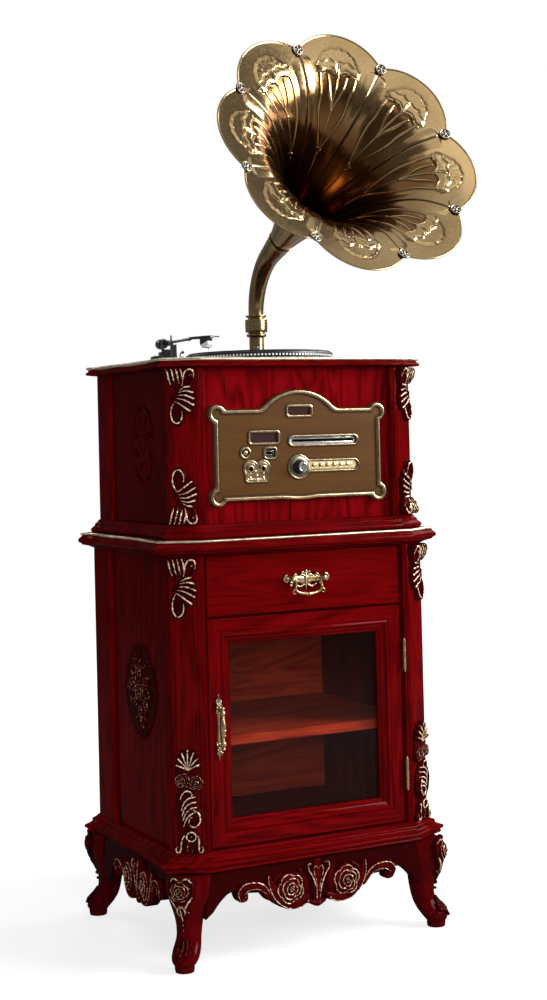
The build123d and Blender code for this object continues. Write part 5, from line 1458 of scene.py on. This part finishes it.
ARC, ARC_R, ARC_H = bell_curve()


def arc_at(r):
    return np.interp(r, ARC_R, ARC)


def petal_design(lat, s):
    """Embossing of one petal: lat runs across from its middle line, s is the arc from the throat."""
    c = Carving(lat, s)
    c.pressed = True
    r = np.interp(s, ARC, ARC_R)

    def line(points, width, height, gilt_and_painted_highlight):
        c.ridge([(x, arc_at(radius)) for x, radius in points], width, height, gilt_and_painted_highlight, 5)

    def lines(points, width, height, gilt_and_painted_highlight):
        for side in (-1, 1):
            line([(side * x, radius) for x, radius in points], width, height, gilt_and_painted_highlight)

    line([(0, 30), (0, 60), (0, 79)], [0.9, 1.4, 1.6], [0.8, 1.5, 1.8], 0.7)
    line([(0, 84), (0.6, 100), (0, 124)], [1.5, 1.5, 1.6], [2.0, 1.9, 2.0], 0.9)
    for x, radius in ((-3.4, 82), (3.0, 84), (0, 78)):
        c.pearl(x, arc_at(radius), 2.8, 3.0, 1.0)
    c.pearl(0, arc_at(125), 3.2, 3.0, 1.0)
    lines([(1, 83), (8, 92), (17, 107), (25, 126), (28, 145), (34, 166), (36, 182)],
          [1.4, 1.7, 2.0, 2.2, 2.4, 2.4, 2.8], [1.8, 2.4, 2.6, 2.8, 3.0, 3.0, 3.4], 0.9)
    lines([(1, 125), (4, 135), (11, 148), (15, 161), (19, 176)],
          [1.4, 2.2, 3.4, 2.8, 1.6], [1.8, 2.6, 3.2, 3.0, 2.2], 0.8)
    line([(0, 126), (1.4, 140), (0, 156), (0, 170)], [1.4, 2.2, 2.0, 1.8], [1.9, 2.8, 2.6, 2.4], 0.9)
    # back row of the flower: a scalloped fan with veins and stamens
    centre = arc_at(196)
    fan = disc_field(lat, s, 0, centre, 22)
    for i in range(7):
        turn = math.radians(90 + 27 * (i - 3))
        fan = soft_union(fan, disc_field(lat, s, 29 * math.cos(turn), centre + 22 * math.sin(turn), 11.5),
                         3.5)
    t = np.clip(-fan / 7, 0, 1)
    c.raise_to(2.9 * t * (2 - t), 0.35)
    c.d = np.minimum(c.d, fan)
    for i in range(8):                               # faint veins in the fan
        turn = math.radians(90 + 21 * (i - 3.5))
        x, z = math.cos(turn), math.sin(turn)
        c.ridge([(22 * x, centre + 16 * z), (34 * x, centre + 28 * z)], [1.6, 2.2], [3.3, 3.4], 0.5, 2)
    # front of the cup: two drooping wings that meet in a small tongue
    wing = [(0, 174), (7, 180), (15, 183), (24, 181), (33, 178), (41, 181), (45, 190), (40, 198), (30, 197),
            (20, 203), (10, 200), (0, 202)]
    for side in (-1, 1):
        field = outline_field(lat, s, [(side * x, arc_at(radius)) for x, radius in wing])
        q, t = np.clip(-field / 3, 0, 1), np.clip(-field / 7.5, 0, 1)
        c.raise_to(3.6 * q * (2 - q) + 3.0 * t * (2 - t), 0.5)
        c.d = np.minimum(c.d, field)
    lines([(1, 202), (10, 200), (20, 203), (30, 197), (40, 198), (45, 190)],
          [1.4, 2.0, 2.4, 2.2, 2.2, 1.6], [7.0, 7.4, 7.6, 7.0, 5.8, 4.6], 1.0)
    lines([(2, 178), (8, 181), (16, 184), (25, 181.5), (33, 179), (41, 181.5)],
          [1.4, 2.0, 2.2, 2.0, 2.0, 1.4], [6.6, 7.2, 7.4, 6.8, 6.0, 4.4], 1.0)
    line([(0, 198), (0, 186), (0, 176), (0, 170)], [1.8, 3.6, 3.8, 1.4], [6.4, 7.6, 6.6, 3.0], 1.0)
    c.h = c.h * 0.62                                 # the sheet is pressed less deep than it is drawn
    # panel: the strip between the stems under the flower, which the petal darkens with painted shade
    half = np.interp(r, [80, 125, 180], [4, 24, 35])
    c.panel = np.clip(1 - np.abs(lat) / half, 0, 1) * (r > 80) * (r < 192)
    return c


def horn_point(r, angle, height):
    """Point on the bell: radius, angle about the mouth's axis, height along it."""
    a, b = r * np.cos(angle), r * np.sin(angle)
    return MOUTH + a[..., None] * MOUTH_SIDE + b[..., None] * MOUTH_UP + height[..., None] * MOUTH_OUT


def petal():
    """One sheet petal as front and back skins closed at the edges."""
    gap, thick = 0.0006, 0.9                         # half gap between petals in radians; sheet in mm
    across = np.linspace(-1, 1, 151)
    phi = across * (PITCH / 2 - gap)
    centre, reach = 153.7, 99.3                      # the lobed rim: distance of its centre, and its radius
    edge_r = centre * np.cos(phi) + np.sqrt(reach**2 - (centre * np.sin(phi)) ** 2)
    share = np.concatenate([np.linspace(0, 0.4, 40, endpoint=False),
                            np.linspace(0.4, 0.975, 206, endpoint=False), np.linspace(0.975, 1, 10)])
    s = share[:, None] * arc_at(edge_r)[None, :]
    r = np.interp(s, ARC, ARC_R)
    height = np.interp(s, ARC, ARC_H)
    slope_r = np.gradient(ARC_R, ARC)
    slope_h = np.gradient(ARC_H, ARC)
    nr, nh = -np.interp(s, ARC, slope_h), np.interp(s, ARC, slope_r)
    angle = np.broadcast_to(phi, s.shape)
    lat = r * angle
    c = petal_design(lat, s)
    to_seam = r * (PITCH / 2 - np.abs(angle))
    # swelling along each seam, ending in a round tab near the rivet
    tab_half = np.interp(r, [60, 110, 160, 200], [5, 12, 18, 22])
    tab_end = np.clip((200 + 9 * np.sqrt(np.clip(1 - (to_seam / 22) ** 2, 0, 1)) - r) / 5, 0, 1)
    tab_height = np.interp(r, [60, 120, 200], [0, 0.9, 2.4])
    tab = np.clip(1 - (to_seam / tab_half) ** 2, 0, 1) * tab_end * tab_height
    lift = np.maximum(c.h, tab)
    gilt_and_painted_highlight = np.where(c.h > tab, c.gilt_and_painted_highlight, 0.0)
    sag = -1.4 * np.exp(-(to_seam / 2.0) ** 2) * np.clip((r - 60) / 60, 0, 1) * np.clip((216 - r) / 8, 0, 1)
    rim = arc_at(edge_r)[None, :] - s
    bead = 0.9 * np.sqrt(np.clip(1 - ((rim - 1.7) / 1.7) ** 2, 0, 1))
    front = lift + sag + bead
    back = -thick + (lift + sag) * 0.92 - bead
    skins = []
    for off in (front, back):
        skins.append(horn_point(r + off * nr, PETAL_PHASE + PITCH / 2 + angle, height + off * nh))
    n, m = s.shape
    faces = grid_faces(n, m)
    count = n * m
    loop = np.concatenate([np.arange(m), np.arange(1, n) * m + m - 1,
                           (n - 1) * m + np.arange(m - 2, -1, -1), np.arange(n - 2, 0, -1) * m])
    nxt = np.roll(loop, -1)
    rim_faces = np.stack([loop, nxt, nxt + count, loop + count], -1)
    # Painted shade and painted reflection: tone darkens the throat, a band along the outside of the
    # embossing, the panel under the flower and the inner bell within r 186, where a dimmer reflection is
    # painted; the back skin is darkened a little everywhere. high is a painted highlight on the crests.
    depth = np.clip((125 - r) / 80, 0, 1) ** 0.7
    flat = np.clip(1 - c.h / 1.2, 0, 1)
    hollow = 0.45 * np.exp(-((c.d - 1.4) / 1.8) ** 2) * flat
    shade = 0.62 * np.clip((186 - r) / 40, 0, 1) + 0.62 * np.clip(c.panel * 3, 0, 1) * flat
    tone = np.clip(depth + hollow + shade * (0.35 + 0.65 * flat), 0, 1)
    low = np.concatenate([tone.reshape(-1), np.full(count, 0.15)])
    high = np.concatenate([gilt_and_painted_highlight.reshape(-1), np.zeros(count)])
    return Geo(np.concatenate([skins[0].reshape(-1, 3), skins[1].reshape(-1, 3)]),
               np.concatenate([faces[:, ::-1], faces + count, rim_faces]), 0, high, low)


def turned(geo, angle):
    """Geo turned about the mouth's axis."""
    turn = np.array(Matrix.Rotation(angle, 3, Vector(MOUTH_OUT)))
    return geo.moved(lambda v: (v - MOUTH) @ turn.T + MOUTH)


def rivet(angle):
    """Pierced button on a seam: ring, five leaf lobes and a boss."""
    radial, around = np.linspace(0, 1, 18), circle(60)
    rho, theta = np.meshgrid(radial, around, indexing="ij")
    h = 1.4 + 0.9 * np.sqrt(np.clip(1 - ((rho - 0.88) / 0.12) ** 2, 0, 1))
    h = h + 1.1 * np.clip(np.cos(5 * theta), 0, 1) * np.exp(-((rho - 0.52) / 0.16) ** 2)
    h = h + 1.5 * np.sqrt(np.clip(1 - (rho / 0.24) ** 2, 0, 1))
    h = h * 1.25
    # low: painted shade on the button's lower parts; the crest values further down are a painted highlight
    # on its highest parts
    low = np.clip(1 - (h - 1.8) / 0.8, 0, 1)
    lean = math.radians(14)
    flare = np.array([math.cos(lean), math.sin(lean)])
    size, r0, h0 = 10.5, 218.5, 1.2
    rings = []
    for hh in (h, np.zeros_like(h)):
        u, v = size * rho * np.cos(theta), size * rho * np.sin(theta)
        radius = r0 + u * flare[0] - hh * flare[1]
        height = h0 + u * flare[1] + hh * flare[0]
        rings.append(MOUTH + (radius * math.cos(angle) - v * math.sin(angle))[..., None] * MOUTH_SIDE
                     + (radius * math.sin(angle) + v * math.cos(angle))[..., None] * MOUTH_UP
                     + height[..., None] * MOUTH_OUT)
    n, m = h.shape
    top = grid_faces(n, m, False, True)
    walls = grid_faces(2, m, False, True)
    walls = np.where(walls < m, walls + (n - 1) * m, walls - m + n * m + (n - 1) * m)
    return Geo(np.concatenate([rings[0].reshape(-1, 3), rings[1].reshape(-1, 3)]),
               np.concatenate([top, top[:, ::-1] + n * m, walls[:, ::-1]]), 0,
               np.concatenate([np.clip(h - 2.2, 0, 1).reshape(-1), np.zeros(n * m)]),
               np.concatenate([low.reshape(-1), np.zeros(n * m)]))


def horn():
    first = petal()
    for i in range(8):
        piece(f"horn_petal_{i + 1}", "horn", [HORN], [turned(first, PITCH * i)],
              ["horn_petals"] if i == 0 else (), "horn_brass", attributes=True, sharp=60)
    seams = []
    for i in range(8):
        s = np.linspace(2, arc_at(213), 70)
        r, h = np.interp(s, ARC, ARC_R), np.interp(s, ARC, ARC_H)
        angle = np.full_like(r, PETAL_PHASE + PITCH * i)
        seams.append(tube(horn_point(r, angle, h), [0.7, 1.0, 1.25, 1.3], 8))
    piece("horn_seams", "horn", [HORN_SEAM], seams, slot="horn_brass", sharp=60)
    looks("horn_rivets", "horn", [RIVET_METAL], [rivet(PETAL_PHASE + PITCH * i) for i in range(8)],
          attributes=True, sharp=60)
    pipe()


def pipe():
    """Gooseneck from the collar to the throat, then the turned collar and socket."""
    turn = math.pi / 2 - TILT
    steps = np.linspace(0, turn, 46)
    centre = np.stack([np.full(len(steps), HORN_X), HORN_Y - BEND_R * (1 - np.cos(steps)),
                       BEND_Z + BEND_R * np.sin(steps)], -1)
    run = np.linspace(0, 51, 14)[1:, None]
    centre = np.vstack([[(HORN_X, HORN_Y, 1119)], centre, centre[-1] + run * MOUTH_OUT])
    length = np.concatenate([[0], np.cumsum(np.linalg.norm(np.diff(centre, axis=0), axis=1))])
    share = length / length[-1]
    outer = np.interp(share, [0, 0.04, 0.2, 0.4, 0.6, 0.76, 0.9, 0.975, 0.98, 1.0],
                      [14.2, 14.4, 15.4, 16.7, 18.4, 20.2, 22.8, 24.3, 25.2, 25.2])
    wall = 1.4
    inner = outer - wall
    direction = np.gradient(centre, axis=0)
    direction /= np.linalg.norm(direction, axis=1)[:, None]
    angle = circle(64)
    level = np.array((1.0, 0, 0))
    rings = []
    for order, radii in ((slice(None), outer), (slice(None, None, -1), inner)):
        for p, t, r in zip(centre[order], direction[order], radii[order]):
            up = np.cross(t, level)
            rings.append(p + r * (np.cos(angle)[:, None] * level + np.sin(angle)[:, None] * up))
    elbow = loft(rings, closed=True)
    collar = lathe(spline([(10.6, 1090.3), (15.5, 1090.3), (16.4, 1091.5), (16.6, 1093), (20.2, 1093.8),
                           (21.4, 1095.4), (21.5, 1106), (21.4, 1117), (20.2, 1118.6), (17.2, 1119.4),
                           (16.4, 1121), (17.6, 1122.6), (20, 1123.4), (20.4, 1125), (19.6, 1126.4),
                           (15.5, 1126.6), (14.0, 1126.4), (10.6, 1126)], 4), (HORN_X, HORN_Y, 0), "Z", 64)
    groove = lathe([(21.3, 1104.4), (21.9, 1105), (21.9, 1107), (21.3, 1107.6)], (HORN_X, HORN_Y, 0), "Z",
                   64)
    tail = lathe([(10.5, 1040), (12, 1040), (12, 1091), (10.5, 1091)], (HORN_X, HORN_Y, 0), "Z", 48)
    looks("horn_elbow", "horn", [PIPE], [elbow, collar, groove, tail])
    socket = lathe(spline([(12.1, 1036), (19, 1028.1), (20, 1029), (20, 1031.6), (18.6, 1033), (15.6, 1034),
                           (14.3, 1036), (14.2, 1050), (14.2, 1070), (14.2, 1081), (14.8, 1083.6),
                           (18, 1084.6), (19.1, 1086.2), (19.1, 1088.4), (18, 1090), (12.4, 1090),
                           (12.1, 1089)], 4), (HORN_X, HORN_Y, 0), "Z", 64)
    looks("horn_socket", "cabinet", [PIPE], [socket])


# ---------------------------------------------------------------- what stays as CAD
def keep_cad():
    repaint("lower_side_panels", WOOD_Z)
    repaint("console_front", CONSOLE_WOOD)
    for name in ("lower_back", "console_back", "shelf", "drawer_divider", "drawer_runners", "drawer_box"):
        repaint(name, INNER)
    for name in ("receiver_chassis", "cd_player", "motor", "platter_bearing", "motor_pulley"):
        repaint(name, STEEL)
    for name in ("speakers", "horn_driver"):
        repaint(name, MATT_BLACK)
    repaint("drive_belt", RUBBER)
    repaint("power_inlet", BLACK)
    repaint("input_sockets", MATT_BLACK)


# ---------------------------------------------------------------- studio
def area_light(name, place, target, size, power, mirrored=True, lights=True):
    """Soft rectangular lamp; a fill is never mirrored, a glint lights nothing but its own reflections."""
    data = bpy.data.lights.new(name, "AREA")
    data.shape = "RECTANGLE"
    data.size, data.size_y = size
    data.energy = power
    lamp = place_object(name, data)
    lamp.location = place
    lamp.rotation_euler = (Vector(target) - Vector(place)).to_track_quat("-Z", "Y").to_euler()
    lamp.visible_glossy = mirrored
    lamp.visible_diffuse = lights


def studio():
    mat, tree, shader = new_material("studio_floor", Roughness=0.9, Specular_IOR_Level=0.1,
                                     Emission_Color=rgb(1.0, 1.0, 1.0))
    shade = noise(tree, stretched(tree, (0.6, 0.6, 0.6)), 1.0, 2.0)
    tree.links.new(mix(tree, shade, rgb(0.30, 0.30, 0.30), rgb(0.33, 0.33, 0.33)),
                   shader.inputs["Base Color"])
    away = node(tree, "VectorMath", {0: node(tree, "TexCoord").outputs["Object"]},
                operation="LENGTH").outputs["Value"]
    direct = node(tree, "LightPath").outputs["Is Camera Ray"]
    glow = maths(tree, "MULTIPLY", span(tree, away, 0.5, 2.2, 0.74, 1.0),
                 span(tree, direct, 0.0, 1.0, 0.12, 1.0))
    tree.links.new(glow, shader.inputs["Emission Strength"])
    mesh = bpy.data.meshes.new("floor")
    far = 14.0
    mesh.from_pydata([(-far, -far, 0), (far, -far, 0), (far, far, 0), (-far, far, 0)], [], [(0, 1, 2, 3)])
    mesh.materials.append(mat)
    place_object("floor", mesh)
    world = bpy.data.worlds.new("studio")
    bpy.context.scene.world = world
    world.use_nodes = True
    tree = world.node_tree
    path = node(tree, "LightPath")
    level = span(tree, path.outputs["Is Glossy Ray"], 0.0, 1.0, 0.05, 0.23)
    level = maths(tree, "MAXIMUM", level, path.outputs["Is Camera Ray"])
    tree.nodes["Background"].inputs[0].default_value = rgb(1.0, 1.0, 1.0)
    tree.links.new(level, tree.nodes["Background"].inputs[1])
    area_light("key", (2.2, -1.75, 1.95), (0, -0.1, 1.2), (1.6, 1.4), 125)
    area_light("glint", (2.15, -1.72, 1.96), (0, -0.1, 1.2), (1.45, 1.3), 75, lights=False)
    area_light("side", (2.75, 0.5, 2.5), (0, -0.1, 1.3), (1.2, 1.1), 45)
    area_light("canopy", (0.85, -2.25, 3.45), (0, -0.2, 1.2), (1.9, 1.6), 11)
    area_light("front_fill", (-1.4, -4.0, 1.6), (0, 0, 0.8), (2.2, 1.8), 126, False)
    area_light("ceiling", (0.0, -0.5, 4.6), (0, -0.5, 0), (5.0, 4.5), 48)
    area_light("back_left", (-2.0, 3.4, 3.2), (0, 0, 0.9), (1.0, 1.0), 25)
    area_light("back_right", (1.8, 3.2, 2.4), (0, 0, 0.9), (1.2, 1.4), 30)


def camera():
    """The photo's viewpoint, solved from the cabinet's edges."""
    data = bpy.data.cameras.new("camera")
    data.sensor_fit = "AUTO"
    data.sensor_width = 36
    data.lens = 60.13
    data.shift_y = -0.1
    data.clip_end = 100
    obj = place_object("camera", data)
    right = Vector((0.88938, -0.45649, -0.02480))
    up = Vector((0.01227, -0.03039, 0.99946))
    forward = Vector((0.45700, 0.88921, 0.02143))
    basis = Matrix((right, up, -forward)).transposed().to_4x4()
    basis.translation = Vector(to_part((-1380.9, -2777.37, 890.95)))
    obj.matrix_world = basis
    bpy.context.scene.camera = obj


boards()
case_posts(LOWER, 98, 191, SLAB, "lower_posts")
case_posts(UPPER, 104, CONSOLE, 1011, "console_posts")
legs()
aprons()
corner_carvings()
medallions()
door()
drawer()
console_sides()
fascia()
deck()
tonearm()
horn()
keep_cad()
studio()
camera()
bpy.context.scene.view_settings.view_transform = "Standard"
